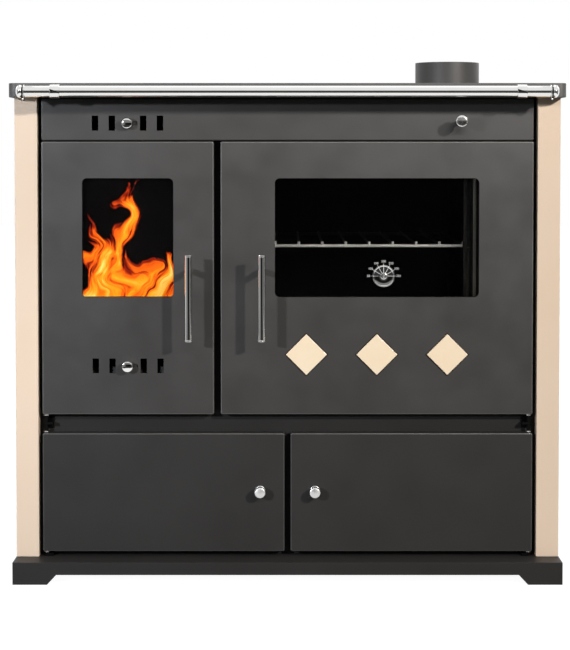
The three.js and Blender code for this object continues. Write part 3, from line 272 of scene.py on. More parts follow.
def printed_fire(name):
    """Tongues of fire on black, drawn upwards and curled by noise, hot at the root and thin at the tips, and glowing
    with their own colours: painted light.
    """
    fire = Recipe(name, (0.01, 0.008, 0.007), 0.6, Specular_IOR_Level=0.1)
    drift = fire.node("ShaderNodeTexNoise", {"Scale": 17.0, "Detail": 1.5})
    fire.link(fire.place, drift.inputs["Vector"])
    bend = fire.node("ShaderNodeVectorMath", operation="MULTIPLY_ADD")
    for value, socket in zip((drift.outputs["Color"], (0.13, 0.0, 0.05), fire.place), bend.inputs):
        fire.plug(value, socket)
    tongues = fire.noise(1.0, 4.0, 0.62, fire.mapped((30.0, 1.0, 9.0), vector=bend.outputs[0]))
    across, _, upwards = fire.axes(bend.outputs[0])
    height = fire.span(upwards, 0.48, 0.70)
    off_middle = fire.maths("ABSOLUTE", fire.maths("ADD", across, -WINDOW_X), 0.0)
    narrowing = fire.maths("MULTIPLY", off_middle, fire.maths("ADD", fire.maths("MULTIPLY", height, 6.0), 2.0))
    body = fire.maths("SUBTRACT", fire.maths("SUBTRACT", 0.42, fire.maths("MULTIPLY", height, 0.48)), narrowing)
    heat = fire.maths("ADD", fire.maths("MULTIPLY", fire.maths("SUBTRACT", tongues, 0.5), 2.4), body)
    colour = fire.ramp(heat, [(0.0, (0.0006, 0.0004, 0.0004)), (0.06, (0.30, 0.012, 0.002)),
                              (0.16, (0.95, 0.13, 0.004)), (0.34, (1.0, 0.38, 0.012)), (0.60, (1.0, 0.82, 0.20))])
    fire.link(colour, fire.shader.inputs["Base Color"])
    # the fire's colours also go to emission, so the print glows: painted light
    fire.link(colour, fire.shader.inputs["Emission Color"])
    fire.shader.inputs["Emission Strength"].default_value = 0.85
    fire.relief(fire.noise(700.0, 1.0), 0.00002)
    return fire.material


anthracite = satin_paint("anthracite_enamel", (0.0405, 0.0387, 0.0369), (0.0481, 0.0459, 0.044), 0.35,
                         Specular_IOR_Level=0.5)
# the door enamel again, darker for the lower doors: painted shade
anthracite_shaded_low = satin_paint("anthracite_enamel_shaded_lower", (0.0233, 0.0222, 0.0211), (0.0268, 0.0254, 0.0242), 0.5,
                             Specular_IOR_Level=0.25)
# the door enamel again, darker for the panel under the hob: painted shade
upper_shaded_enamel = satin_paint("anthracite_enamel_shaded_upper", (0.0345, 0.0328, 0.0313), (0.0408, 0.0389, 0.037), 0.38,
                           Specular_IOR_Level=0.42)
# lighter enamel for the eased edges of the door sheets: a painted highlight along each edge
anthracite_edge_highlight = satin_paint("anthracite_painted_edge_highlight", (0.10, 0.097, 0.093), (0.07, 0.068, 0.065), 0.36)
lower_edge_highlight = satin_paint("lower_painted_edge_highlight", (0.055, 0.053, 0.051), (0.04, 0.039, 0.037), 0.4)
cream = satin_paint("cream_enamel", (0.77, 0.60, 0.45), (0.80, 0.65, 0.51), 0.38, 0.00003)
black_sheet = satin_paint("black_stove_paint", (0.016, 0.0155, 0.015), (0.026, 0.025, 0.024), 0.62, 0.00006)
# near black above the foot of the upper doors: painted shade in the gaps round the doors
frame_black = shade_blackened_paint("frame_black", (0.020, 0.0192, 0.0184), (0.027, 0.026, 0.025))
# the door enamel again, darker for the plinth: painted shade
plinth_shaded_enamel = satin_paint("plinth_shaded_enamel", (0.0238, 0.0226, 0.0216), (0.028, 0.0266, 0.0254), 0.5,
                            Specular_IOR_Level=0.25)
chrome = chrome_plate("chrome_plate")
satin_chrome = chrome_plate("satin_chrome", 0.62, 0.34)
worn_chrome = chrome_plate("worn_chrome", 0.8, 0.15)
dull_chrome = chrome_plate("turned_steel", 0.6, 0.22)
casting = rough_casting("black_casting", (0.018, 0.0176, 0.017))
# the black casting again, darker for the doors' inner frames behind the glass: painted shade
shaded_frame_casting = rough_casting("door_frame_casting", (0.009, 0.0087, 0.0084), level=0.2)
# near black hinge brackets: painted shade, so that they sink into the dark gaps by the doors
hinge_shade_black = rough_casting("hinge_shade_black", (0.0016, 0.0015, 0.0014), 0.00005, 0.06)
hob_iron = ground_iron("ground_hob_iron")
oven_enamel = speckled_enamel("speckled_oven_enamel")
firebrick = fired_clay("firebrick")
rope = braided_rope("rope_seal")
oven_glass = window_glass("oven_glass", (0.8, 0.79, 0.77))
fire_glass = window_glass("clear_fire_glass", (0.8, 0.8, 0.8))
tile_glaze = glazed_tile("cream_tile_glaze")
# dark sheet behind each tile, whose rim shows round the tile as painted shade
diamond_shade_paint = rough_casting("dark_tile_edge_shade", (0.012, 0.009, 0.007), 0.00005)
disc_iron = ground_iron("turned_hob_iron", RING_PLACE)
rim_grey = satin_paint("hob_rim_grey", (0.07, 0.068, 0.066), (0.15, 0.146, 0.142), 0.5, 0.00012)
flue_grey = satin_paint("flue_enamel", (0.060, 0.0575, 0.055), (0.076, 0.073, 0.07), 0.5)
rack_wire = shaded_oven_wire("rack_wire")
scale_enamel = rough_casting("scale_enamel", (0.01, 0.01, 0.01), 0.00002)
print_white = satin_paint("white_print", (0.75, 0.74, 0.72), (0.6, 0.59, 0.57), 0.5, 0.00001)
fire_print = printed_fire("printed_fire")


# Making of pieces

SHARP_EDGE = 50     # an edge whose faces turn by more degrees gets eased


def edges_over(bm, degrees):
    """Edges whose faces turn by more than an angle."""
    limit = math.radians(degrees)
    return [e for e in bm.edges if len(e.link_faces) == 2 and e.calc_face_angle(0.0) > limit]


def only_verts(geom):
    return [part for part in geom if isinstance(part, bmesh.types.BMVert)]


def each_once(parts):
    """A list without repeats, in an order that is the same each run."""
    return list(dict.fromkeys(parts))


def edges_of(verts):
    return each_once(e for vert in verts for e in vert.link_edges)


def moved(bm, verts, turn, shift):
    """Turns vertices about the frame's origin, then shifts them."""
    bmesh.ops.rotate(bm, cent=(0, 0, 0), matrix=turn, verts=verts)
    bmesh.ops.translate(bm, vec=shift, verts=verts)


def swept(bm, geom, angle, steps, middle=(0, 0, 0), merge=False):
    """Spins edges about an upright axis into faces."""
    bmesh.ops.spin(bm, geom=geom, cent=middle, axis=(0, 0, 1), dvec=(0, 0, 0), angle=angle, steps=steps,
                   use_merge=merge, use_duplicate=False)


def placed(bm, name, *materials):
    """Turns a bmesh into an object of the scene."""
    mesh = bpy.data.meshes.new(name)
    bm.to_mesh(mesh)
    bm.free()
    for material in materials:
        mesh.materials.append(material)
    thing = bpy.data.objects.new(name, mesh)
    scene.collection.objects.link(thing)
    return thing


def ease(bm, edges, width, segments):
    """Rounds edges over."""
    bmesh.ops.bevel(bm, geom=edges, offset=width, offset_type="OFFSET", segments=segments, profile=0.5,
                    affect="EDGES", clamp_overlap=True, material=-1)


def finished(bm, name, body, material, replaces=(), sharp=35, highlight_material=None):
    """Turns a bmesh into a piece that rides on a CAD body."""
    bmesh.ops.remove_doubles(bm, verts=bm.verts, dist=1e-7)
    bmesh.ops.recalc_face_normals(bm, faces=bm.faces)
    for face in bm.faces:
        face.smooth = True
    for edge in edges_over(bm, sharp):
        edge.smooth = False
    piece = placed(bm, name, *filter(None, (material, highlight_material)))
    level = piece.modifiers.new("flat faces", "WEIGHTED_NORMAL")
    level.keep_sharp = True
    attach(piece, body)
    if replaces:
        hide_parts(*replaces)
    return piece


def added(bm, make):
    """Runs a making step and returns the vertices that it added."""
    before = set(bm.verts)
    make()
    return [v for v in bm.verts if v not in before]


def add_block(bm, low, high, eased, segments=2):
    """A box between two corners, with eased edges."""
    def make():
        low_corner, high_corner = Vector(low), Vector(high)
        verts = bmesh.ops.create_cube(bm, size=1.0)["verts"]
        bmesh.ops.scale(bm, vec=high_corner - low_corner, verts=verts)
        bmesh.ops.translate(bm, vec=(low_corner + high_corner) / 2, verts=verts)
        ease(bm, edges_of(verts), eased, segments)
    return added(bm, make)


AIM = {
    "up": Matrix.Identity(3),
    "front": Matrix.Rotation(math.radians(90), 3, "X"),
    "back": Matrix.Rotation(math.radians(-90), 3, "X"),
    "right": Matrix.Rotation(math.radians(90), 3, "Y"),
    "left": Matrix.Rotation(math.radians(-90), 3, "Y"),
    "down": Matrix.Rotation(math.radians(180), 3, "X"),
}


def add_turned(bm, profile, place, aim, steps):
    """A turned shape: points of (radius, height) spun round its axis, which starts at place."""
    def make():
        line = [bm.verts.new((radius, 0.0, height)) for radius, height in profile]
        edges = [bm.edges.new(pair) for pair in zip(line, line[1:])]
        swept(bm, line + edges, math.tau, steps, merge=True)
    verts = added(bm, make)
    bmesh.ops.remove_doubles(bm, verts=verts, dist=1e-7)
    verts = [v for v in verts if v.is_valid]
    moved(bm, verts, AIM[aim], place)
    return verts


def rounded_rod(radius, length, edge=0.0004):
    """Profile of a solid rod with eased ends."""
    return [(0, 0), (radius - edge, 0), (radius - edge * 0.3, edge * 0.3), (radius, edge),
            (radius, length - edge), (radius - edge * 0.3, length - edge * 0.3), (radius - edge, length), (0, length)]


def add_screw(bm, place, aim, radius=0.0035, height=0.0018):
    """A domed screw head with a small round recess in its middle."""
    recess = height * 0.35
    add_turned(bm, [(0, recess), (0.0011, recess), (0.0012, height), (radius * 0.55, height * 0.97),
                    (radius * 0.85, height * 0.7), (radius, height * 0.25), (radius, 0), (0, 0)], place, aim, 16)


def on_rounding(face):
    """Whether a face lies on an eased edge, which takes the lighter edge finish: a painted highlight."""
    return max(abs(part) for part in face.normal) < 0.97


def worked(node, name, body, material, eased, segments=2, highlight_material=None):
    """A CAD node's shape as one closed skin, with eased edges that may have a lighter finish of their own, a painted
    highlight.
    """
    bm = bmesh.new()
    bm.from_mesh(nodes[node].data)
    bmesh.ops.remove_doubles(bm, verts=bm.verts, dist=2e-6)
    bmesh.ops.dissolve_limit(bm, angle_limit=math.radians(0.5), verts=bm.verts, edges=bm.edges,
                             use_dissolve_boundaries=False)
    ease(bm, edges_over(bm, SHARP_EDGE), eased, segments)
    if highlight_material:
        bm.normal_update()
        for face in bm.faces:
            if on_rounding(face):
                face.material_index = 1
    finished(bm, name, body, material, (node,), highlight_material=highlight_material)


def coated(material, *names):
    """Gives CAD nodes a finish and leaves their shape alone."""
    for name in names:
        slots = nodes[name].material_slots
        if slots:
            slots[0].material = material
        else:
            nodes[name].data.materials.append(material)


# CAD nodes that keep their shape

coated(black_sheet, "back_panel", "storage_floor", "middle_deck", "storage_divider", "flue_chamber",
       "firebox_casing", "damper_plate", "secondary_air_slide", "primary_air_slide")
# the front frame goes near black above the foot of the upper doors: painted shade in the door gaps
coated(frame_black, "front_frame")
coated(oven_glass, "oven_window_glass")
coated(fire_glass, "fire_window_glass")
coated(rope, "fire_window_seal", "oven_window_seal")
coated(oven_enamel, "oven_box")

# Sheet metal of the carcass

worked("base_plinth", "plinth", "carcass", plinth_shaded_enamel, 0.0007)
worked("upper_front_panel", "upper_panel", "carcass", upper_shaded_enamel, 0.0004)
worked("side_panel_left", "left_side", "carcass", cream, 0.0007, 3)
worked("side_panel_right", "right_side", "carcass", cream, 0.0007, 3)
worked("hob_frame", "hob_rim", "carcass", rim_grey, 0.0016, 4)
worked("hob_plate", "hob_top_plate", "carcass", hob_iron, 0.0005)
worked("ash_pan", "ash_drawer", "carcass", black_sheet, 0.0004)
worked("fire_grate", "grate", "carcass", casting, 0.0008)
for brick in ("left", "right", "back"):
    worked(f"firebrick_{brick}", f"brick_{brick}", "carcass", firebrick, 0.0018)
for row in ("top", "middle", "bottom"):
    for side in ("left", "right"):
        worked(f"hinge_bracket_{row}_{side}", f"hinge_{row}_{side}", "carcass", hinge_shade_black, 0.0004)

# Bright bushes on the hinge pins, where they meet the doors

bushes = bmesh.new()
for side in (-1, 1):
    for start in (0.0424, 0.2413, 0.2690):
        add_turned(bushes, [(0.0032, 0), (0.0042, 0), (0.0046, 0.0005), (0.0046, 0.0019), (0.0042, 0.0024),
                            (0.0032, 0.0024), (0.0032, 0)], (side * PIN_X, PIN_Y, start), "up", 32)
finished(bushes, "hinge_bushes", "carcass", dull_chrome)

# Doors

# each door sheet gets a lighter finish on its eased edges: painted highlight
for node, name, body, enamel, edge_highlight_paint in (
        ("fire_door_panel", "fire_door_sheet", "fire_door", anthracite, anthracite_edge_highlight),
        ("oven_door_panel", "oven_door_sheet", "oven_door", anthracite, anthracite_edge_highlight),
        ("storage_door_left", "left_storage_sheet", "storage_left", anthracite_shaded_low, lower_edge_highlight),
        ("storage_door_right", "right_storage_sheet", "storage_right", anthracite_shaded_low, lower_edge_highlight)):
    worked(node, name, body, enamel, 0.0011, 3, edge_highlight_paint)
for door in ("fire_door", "oven_door"):
    worked(f"{door}_inner_frame", f"{door}_casting", door, shaded_frame_casting, 0.0010)


# Rail along the hob

def close_holes(bm):
    bmesh.ops.holes_fill(bm, edges=[e for e in bm.edges if e.is_boundary], sides=0)


def towel_rail():
    """Tube between two short ball elbows, each on a leg with a flange against the hob."""
    bm = bmesh.new()
    run = LEG_X - 0.0065
    add_turned(bm, [(0, 0), (0.009, 0), (0.009, run), (0.009, 2 * run), (0, 2 * run)],
               (-run, RAIL_Y, RAIL_Z), "right", 64)
    # near-black rings in the gap between each ball and its collar, and round each set screw: painted shade
    rail_shade_rings = bmesh.new()
    for side, towards in ((-1, "left"), (1, "right")):
        leg = (side * LEG_X, HOB_FRONT, RAIL_Z)
        add_turned(bm, [(0, 0), (0.0080, 0), (0.0084, 0.0004), (0.0084, 0.0020), (0.0080, 0.0026),
                        (0.0066, 0.0030), (0.0066, 0.0190), (0, 0.0190)], leg, "front", 48)
        ball = bmesh.ops.create_uvsphere(bm, u_segments=48, v_segments=32, radius=0.0103)["verts"]
        bmesh.ops.scale(bm, vec=(0.66, 1.0, 1.0), verts=ball)
        bmesh.ops.translate(bm, vec=(side * LEG_X, RAIL_Y, RAIL_Z), verts=ball)
        inner = side * (LEG_X - 0.0078)
        add_turned(bm, [(0, 0), (0.0094, 0), (0.0104, 0.0005), (0.0107, 0.0012), (0.0104, 0.0019),
                        (0.0094, 0.0024), (0, 0.0024)], (inner, RAIL_Y, RAIL_Z), towards, 48)
        add_turned(rail_shade_rings, [(0, 0), (0.0096, 0), (0.0096, 0.0012), (0, 0.0012)],
                   (inner + side * 0.0022, RAIL_Y, RAIL_Z), towards, 48)
        screw_place = (side * (LEG_X - 0.0046), RAIL_Y + 0.001, RAIL_Z - 0.0092)
        add_turned(rail_shade_rings, [(0, 0), (0.0029, 0), (0.0029, 0.0016), (0, 0.0016)], screw_place, "down", 24)
        add_screw(bm, screw_place, "down", 0.0024, 0.0038)
    finished(bm, "towel_rail_tube", "carcass", chrome, ("towel_rail",), sharp=50)
    finished(rail_shade_rings, "towel_rail_gap_shade", "carcass", frame_black)


def rail_clamp(side, name, replaced):
    """A clamp in two halves, whose parting line runs down to the right, on a square arm."""
    bm = bmesh.new()
    middle = Vector((side * CLAMP_X + 0.0016, RAIL_Y, RAIL_Z))
    half, outer, inner = 0.0078, 0.0110, 0.0092
    ring = [(inner, 0), (outer - 0.0008, 0), (outer - 0.0002, 0.0003), (outer, 0.0009),
            (outer, 2 * half - 0.0009), (outer - 0.0002, 2 * half - 0.0003), (outer - 0.0008, 2 * half),
            (inner, 2 * half), (inner, 0)]
    slant = math.radians(17)
    half_joint = 0.0013
    lean = Vector((math.sin(slant), 0, math.cos(slant)))
    for way in (lean, -lean):
        shell = add_turned(bm, ring, middle - Vector((half, 0, 0)), "right", 64)
        geom = shell + edges_of(shell) + each_once(f for v in shell for f in v.link_faces)
        bmesh.ops.bisect_plane(bm, geom=geom, dist=1e-6, plane_co=middle + way * half_joint, plane_no=way,
                               clear_inner=True)
        close_holes(bm)
    arm = 0.006
    add_block(bm, middle + Vector((-arm, 0.0098, -arm)), (middle.x + arm, HOB_FRONT, RAIL_Z + arm), 0.0008)
    add_turned(bm, [(0, 0), (0.0085, 0), (0.0088, 0.0004), (0.0085, 0.0012), (0, 0.0012)],
               (middle.x, HOB_FRONT, RAIL_Z), "front", 40)
    finished(bm, name, "carcass", chrome, (replaced,), sharp=50)


towel_rail()
rail_clamp(-1, "left_rail_clamp", "rail_bracket_left")
rail_clamp(1, "right_rail_clamp", "rail_bracket_right")
# a near-black ring inside each clamp that shows in its parting gap: painted shade
for side, label in ((-1, "left"), (1, "right")):
    clamp_shade_ring = bmesh.new()
    add_turned(clamp_shade_ring, [(0.0091, 0), (0.0104, 0), (0.0104, 0.0148), (0.0091, 0.0148), (0.0091, 0)],
               (side * CLAMP_X - 0.0058, RAIL_Y, RAIL_Z), "right", 64)
    finished(clamp_shade_ring, f"clamp_gap_shade_{label}", "carcass", frame_black)


# Handles, spindles, knobs and flue socket

def flue_socket():
    """A round spigot with a flange, held down by four screws."""
    bm = bmesh.new()
    bore, tube, flange = 0.058, 0.060, 0.075
    add_turned(bm, [(bore, 0.794), (tube, 0.794), (tube, 0.8143), (0.0743, 0.8143), (flange, 0.8149),
                    (flange, 0.8167), (0.0743, 0.8173), (0.0625, 0.8173), (0.0608, 0.8180), (tube, 0.8196),
                    (tube, 0.8684), (0.0597, 0.869), (0.0583, 0.869), (bore, 0.8684), (bore, 0.794)],
               (FLUE_X, FLUE_Y, 0), "up", 96)
    reach = 0.0685
    for degrees in (45, 135, 225, 315):
        turn = math.radians(degrees)
        place = (FLUE_X + reach * math.cos(turn), FLUE_Y + reach * math.sin(turn), 0.8172)
        add_screw(bm, place, "up", 0.0035, 0.0022)
    finished(bm, "flue_socket", "carcass", flue_grey, ("flue_spigot",))


def handle(name, x, body, replaced):
    """An upright bar with a small rim at each end."""
    bm = bmesh.new()
    rim, bar, low, high = 0.0065, 0.006, 0.397, 0.537
    foot = [(0, low), (rim - 0.0008, low), (rim - 0.0002, low + 0.0002), (rim, low + 0.0008),
            (rim, low + 0.0022), (rim - 0.0002, low + 0.0027), (bar, low + 0.0030)]
    head = [(radius, low + high - height) for radius, height in reversed(foot)]
    add_turned(bm, foot + head, (x, -0.286, 0), "up", 64)
    finished(bm, name, body, chrome, (replaced,), sharp=50)


def spindle(name, x, top, body, replaced):
    """The shaft through the door, and the latch tongue on its inner end."""
    bm = bmesh.new()
    inner_end, tongue = -0.1972, 0.005
    add_turned(bm, rounded_rod(0.005, 0.0825, 0.0005), (x, inner_end, 0.509), "front", 40)
    add_block(bm, (x - 0.008, inner_end - tongue, 0.501), (x + 0.008, inner_end, top), 0.0008)
    finished(bm, name, body, dull_chrome, (replaced,))


def pull_knob(name, place, start, stem, neck, reach, radius, body, replaced, finish=chrome, rose=0.0):
    """A knob on its stem, with rounded shoulders, a face that is a little domed and perhaps a rose."""
    bm = bmesh.new()
    if rose:
        foot = [(0, start), (rose - 0.0006, start), (rose, start + 0.0006), (rose, 0.0022), (rose - 0.0008, 0.0030),
                (stem, 0.0034)]
    else:
        foot = [(0, start), (stem, start)]
    profile = foot + [(stem, neck), (radius * 0.62, neck), (radius * 0.9, neck + 0.0004),
                      (radius * 0.985, neck + 0.0014), (radius, neck + 0.0028), (radius, reach - 0.0032),
                      (radius * 0.985, reach - 0.0020), (radius * 0.93, reach - 0.0012),
                      (radius * 0.84, reach - 0.0008), (radius * 0.6, reach - 0.0004),
                      (radius * 0.3, reach - 0.0001), (0, reach)]
    add_turned(bm, profile, place, "front", 64)
    finished(bm, name, body, finish, (replaced,), sharp=50)


flue_socket()
handle("fire_handle", FIRE_HANDLE_X, "fire_latch", "fire_handle_bar")
handle("oven_handle", OVEN_HANDLE_X, "oven_latch", "oven_handle_bar")
spindle("fire_spindle", FIRE_HANDLE_X, 0.539, "fire_latch", "fire_latch_spindle")
spindle("oven_spindle", OVEN_HANDLE_X, 0.553, "oven_latch", "oven_latch_spindle")
for row, y, z in (("secondary", -0.239, 0.750), ("primary", DOOR_FRONT, 0.352)):
    pull_knob(f"{row}_knob", (AIR_X, y, z), -0.0021, 0.0025, 0.003, 0.015, 0.009, f"{row}_air", f"{row}_air_knob")
for side, label in ((-1, "left"), (1, "right")):
    pull_knob(f"{label}_storage_pull", (side * STORAGE_KNOB_X, DOOR_FRONT, STORAGE_KNOB_Z), 0.0, 0.0045, 0.009,
              0.021, 0.009, f"storage_{label}", f"storage_knob_{label}", satin_chrome, rose=0.0086)
pull_knob("damper_pull_knob", (DAMPER_X, -0.267, DAMPER_Z), 0.0, 0.004, 0.0, 0.014, 0.00975,
          "damper", "damper_knob", worn_chrome)
damper_shaft = bmesh.new()
add_turned(damper_shaft, rounded_rod(0.004, 0.4057), (DAMPER_X, 0.1387, DAMPER_Z), "front", 32)
finished(damper_shaft, "damper_shaft", "damper", dull_chrome, ("damper_rod",))

# Lift-out ring and lid of the hob

def sink_lifter_slot(bm):
    """The slot that the lifting key hooks into, cut down from the top face by its four edges."""
    half_long, half_wide, floor_z = 0.012, 0.0045, 0.810

    def on_top(face):
        return face.normal.z > 0.99 and face.calc_center_median().z > HOB_TOP - 0.0001

    for axis, half in ((0, half_long), (1, half_wide)):
        for side in (-1, 1):
            normal = Vector((0, 0, 0))
            normal[axis] = side
            place = Vector((*RING_PLACE, HOB_TOP)) + normal * half
            top = [f for f in bm.faces if on_top(f)]
            geom = top + each_once(e for f in top for e in f.edges) + each_once(v for f in top for v in f.verts)
            bmesh.ops.bisect_plane(bm, geom=geom, dist=1e-7, plane_co=place, plane_no=normal)
    bm.normal_update()
    inside = []
    for face in bm.faces:
        middle = face.calc_center_median()
        off_x, off_y = abs(middle.x - RING_PLACE[0]), abs(middle.y - RING_PLACE[1])
        if on_top(face) and off_x < half_long and off_y < half_wide:
            inside.append(face)
    sunk = bmesh.ops.extrude_face_region(bm, geom=inside)["geom"]
    bmesh.ops.translate(bm, vec=(0, 0, floor_z - HOB_TOP), verts=only_verts(sunk))
    bmesh.ops.delete(bm, geom=[f for f in inside if f.is_valid], context="FACES")


def hob_discs():
    """Stepped discs that hang in the rebate round them, ground flat on top."""
    ring_outer, hole, lid_outer = 0.1144, 0.0690, 0.0684
    ledge, eased = 0.005, 0.0004
    foot, step, rebate, shoulder = 0.806, 0.8102, 0.810, 0.8136
    bm = bmesh.new()
    add_turned(bm, [(ring_outer - ledge, foot), (ring_outer - ledge, step), (ring_outer, step),
                    (ring_outer, shoulder), (ring_outer - eased, HOB_TOP), (hole + eased, HOB_TOP),
                    (hole, shoulder), (hole, rebate), (hole - ledge, rebate), (hole - ledge, foot),
                    (ring_outer - ledge, foot)], (*RING_PLACE, 0), "up", 128)
    finished(bm, "hob_lift_ring", "lift_ring", disc_iron, ("hob_ring",))

    bm = bmesh.new()
    add_turned(bm, [(0, foot), (lid_outer - ledge, foot), (lid_outer - ledge, step), (lid_outer, step),
                    (lid_outer, shoulder), (lid_outer - eased, HOB_TOP), (0.030, HOB_TOP), (0, HOB_TOP)],
               (*RING_PLACE, 0), "up", 128)
    sink_lifter_slot(bm)
    finished(bm, "hob_lift_lid", "lift_lid", disc_iron, ("hob_lid",))


hob_discs()

# Oven rack of round wire

def add_bend(bm, start, middle, turn, radius):
    """A bend of round wire: a circle at start, swept in a level arc about middle."""
    ring = bmesh.ops.create_circle(bm, cap_ends=False, segments=20, radius=radius)["verts"]
    moved(bm, ring, AIM["front"], start)
    swept(bm, ring + edges_of(ring), math.radians(turn), 6, middle)
    close_holes(bm)


def wire_rack():
    """A bent frame of wire, with ten thinner wires across it that turn down in front."""
    bm = bmesh.new()
    left, right, front, rear, level = -0.0845, 0.2965, -0.1755, 0.2105, 0.5458
    wire, bend = 0.0025, 0.009
    for y in (front, rear):
        add_turned(bm, rounded_rod(wire, right - left - 2 * bend, 0.0001), (left + bend, y, level), "right", 20)
    for x in (left, right):
        add_turned(bm, rounded_rod(wire, rear - front - 2 * bend, 0.0001), (x, front + bend, level), "back", 20)
    for x, side in ((left, 1), (right, -1)):
        for y, way in ((front, 1), (rear, -1)):
            add_bend(bm, (x, y + way * bend, level), (x + side * bend, y + way * bend, level),
                     90 * side * way, wire)
    first_wire, spacing = -0.05955, 0.03925
    for index in range(10):
        x = first_wire + spacing * index
        add_turned(bm, rounded_rod(0.002, rear - front + 0.004, 0.0006), (x, front - 0.002, level + 0.0025),
                   "back", 16)
        add_turned(bm, rounded_rod(0.0022, 0.0092, 0.0008), (x, front - 0.0005, level - 0.0020), "up", 16)
    finished(bm, "wire_rack", "carcass", rack_wire, ("oven_rack",), sharp=60)


wire_rack()

# Cream diamonds on the oven door

def diamond(label, x):
    """A tile stood on its corner, and the dark sheet behind it whose rim shows round it as painted shade."""
    for name, half, thickness, eased, finish, slot, replaced in (
            (f"diamond_{label}", 0.0238, 0.0035, 0.0008, tile_glaze, "cream_tile", (f"diamond_tile_{label}",)),
            (f"diamond_shade_sheet_{label}", 0.0253, 0.0007, 0.0002, diamond_shade_paint, "dark_steel", ())):
        bm = bmesh.new()
        add_block(bm, (-half, -thickness, -half), (half, 0, half), eased, 3)
        moved(bm, bm.verts, Matrix.Rotation(math.radians(45), 3, "Y"), (x, DOOR_FRONT, TILE_Z))
        finished(bm, name, "oven_door", finish, replaced)


for label, x in (("left", 0.03095), ("middle", 0.14645), ("right", 0.26195)):
    diamond(label, x)

# Oven thermometer on the glass

def lettering(text, size, thickness):
    """A word as flat raised print, a mesh lying face forward about its own middle."""
    curve = bpy.data.curves.new("print", "FONT")
    curve.body = text
    curve.size = size
    curve.align_x = "CENTER"
    curve.align_y = "CENTER"
    curve.extrude = thickness / 2
    words = bpy.data.objects.new("print", curve)
    scene.collection.objects.link(words)
    bpy.context.view_layer.update()
    mesh = bpy.data.meshes.new_from_object(words.evaluated_get(bpy.context.evaluated_depsgraph_get()))
    bpy.data.objects.remove(words)
    bpy.data.curves.remove(curve)
    return mesh


def scale_plate(bm):
    """Half of a flat ring, a little raised off the dial."""
    line = [bm.verts.new((radius, 0.0, 0.0)) for radius in (0.0062, 0.0155)]
    swept(bm, [*line, bm.edges.new(line)], math.pi, 36)
    raised = bmesh.ops.extrude_face_region(bm, geom=list(bm.faces))["geom"]
    bmesh.ops.translate(bm, vec=(0, 0, 0.0004), verts=only_verts(raised))
    moved(bm, bm.verts, AIM["front"], (DIAL_X, GLASS_Y - 0.0027, DIAL_Z))


def thermometer():
    """A chrome dial with a dark half-round scale, and seven numbers with a line to each."""
    bm = bmesh.new()
    add_turned(bm, [(0, 0), (0.0172, 0), (0.0178, 0.0004), (0.018, 0.0010), (0.018, 0.0034), (0.0178, 0.0038),
                    (0.0174, 0.0040), (0.0169, 0.0039), (0.0166, 0.0034), (0.0160, 0.0030), (0.0125, 0.0024),
                    (0.0085, 0.0022), (0.0055, 0.0026), (0.0020, 0.0029), (0.0020, 0.0054), (0.0016, 0.0056),
                    (0, 0.0056)], (DIAL_X, GLASS_Y, DIAL_Z), "front", 72)
    finished(bm, "thermometer_case", "oven_door", chrome, ("thermometer_dial",), sharp=45)

    bm = bmesh.new()
    scale_plate(bm)
    finished(bm, "thermometer_scale", "oven_door", scale_enamel)

    numbers = ("350", "300", "250", "200", "150", "100", "50")
    turns = [math.radians(30 * step) for step in range(len(numbers))]
    bm = bmesh.new()
    for turn in turns:
        ray = add_block(bm, (0.0058, -0.0004, -0.00035), (0.0166, 0, 0.00035), 0.0001, 1)
        stud = add_turned(bm, rounded_rod(0.0007, 0.0012, 0.0003), (0.0170, 0, 0), "front", 12)
        lead = add_block(bm, (0.0176, 0.0028, -0.0003), (0.0205, 0.0031, 0.0003), 0.0001, 1)
        bmesh.ops.rotate(bm, cent=(0, 0, 0), matrix=Matrix.Rotation(-turn, 3, "Y"), verts=ray + stud + lead)
    bmesh.ops.translate(bm, vec=(DIAL_X, GLASS_Y - 0.0031, DIAL_Z), verts=bm.verts)
    finished(bm, "thermometer_lines", "oven_door", print_white)

    bm = bmesh.new()
    reach_x, reach_z = 0.0246, 0.0238
    upright = Matrix.Rotation(math.pi / 2, 4, "X")
    for turn, number in zip(turns, numbers):
        mesh = lettering(number, 0.0052, 0.0002)
        place = (DIAL_X + reach_x * math.cos(turn), GLASS_Y - 0.0001, DIAL_Z + reach_z * math.sin(turn))
        mesh.transform(Matrix.Translation(place) @ upright)
        bm.from_mesh(mesh)
        bpy.data.meshes.remove(mesh)
    finished(bm, "thermometer_numbers", "oven_door", print_white, sharp=30)


def needle():
    """A boss with a tapered arm to the left and a short tail to the right."""
    bm = bmesh.new()
    add_turned(bm, [(0.0022, 0), (0.0049, 0), (0.0055, 0.0004), (0.0055, 0.0012), (0.0052, 0.0017),
                    (0.0044, 0.0020), (0.0028, 0.0021), (0.0022, 0.0021), (0.0022, 0)],
               (DIAL_X, GLASS_Y - 0.0033, DIAL_Z), "front", 48)
    near, far, tip = 0.004, 0.013, 0.25
    front, back = -0.2393, -0.2385
    arm = add_block(bm, (DIAL_X - far, front, DIAL_Z - 0.0012), (DIAL_X - near, back, DIAL_Z + 0.0012), 0.0002, 1)
    for vert in arm:
        share = min(1.0, max(0.0, (DIAL_X - near - vert.co.x) / (far - near)))
        vert.co.z = DIAL_Z + (vert.co.z - DIAL_Z) * (1 - (1 - tip) * share)
    add_block(bm, (DIAL_X + near, front, DIAL_Z - 0.0010), (DIAL_X + 0.008, back, DIAL_Z + 0.0010), 0.0003, 2)
    finished(bm, "thermometer_pointer", "needle", dull_chrome, ("thermometer_needle",))


thermometer()
needle()

# Flames seen behind the fire window: a thin backing sheet with a generic fire printed on its front, whose colours
# glow as painted light

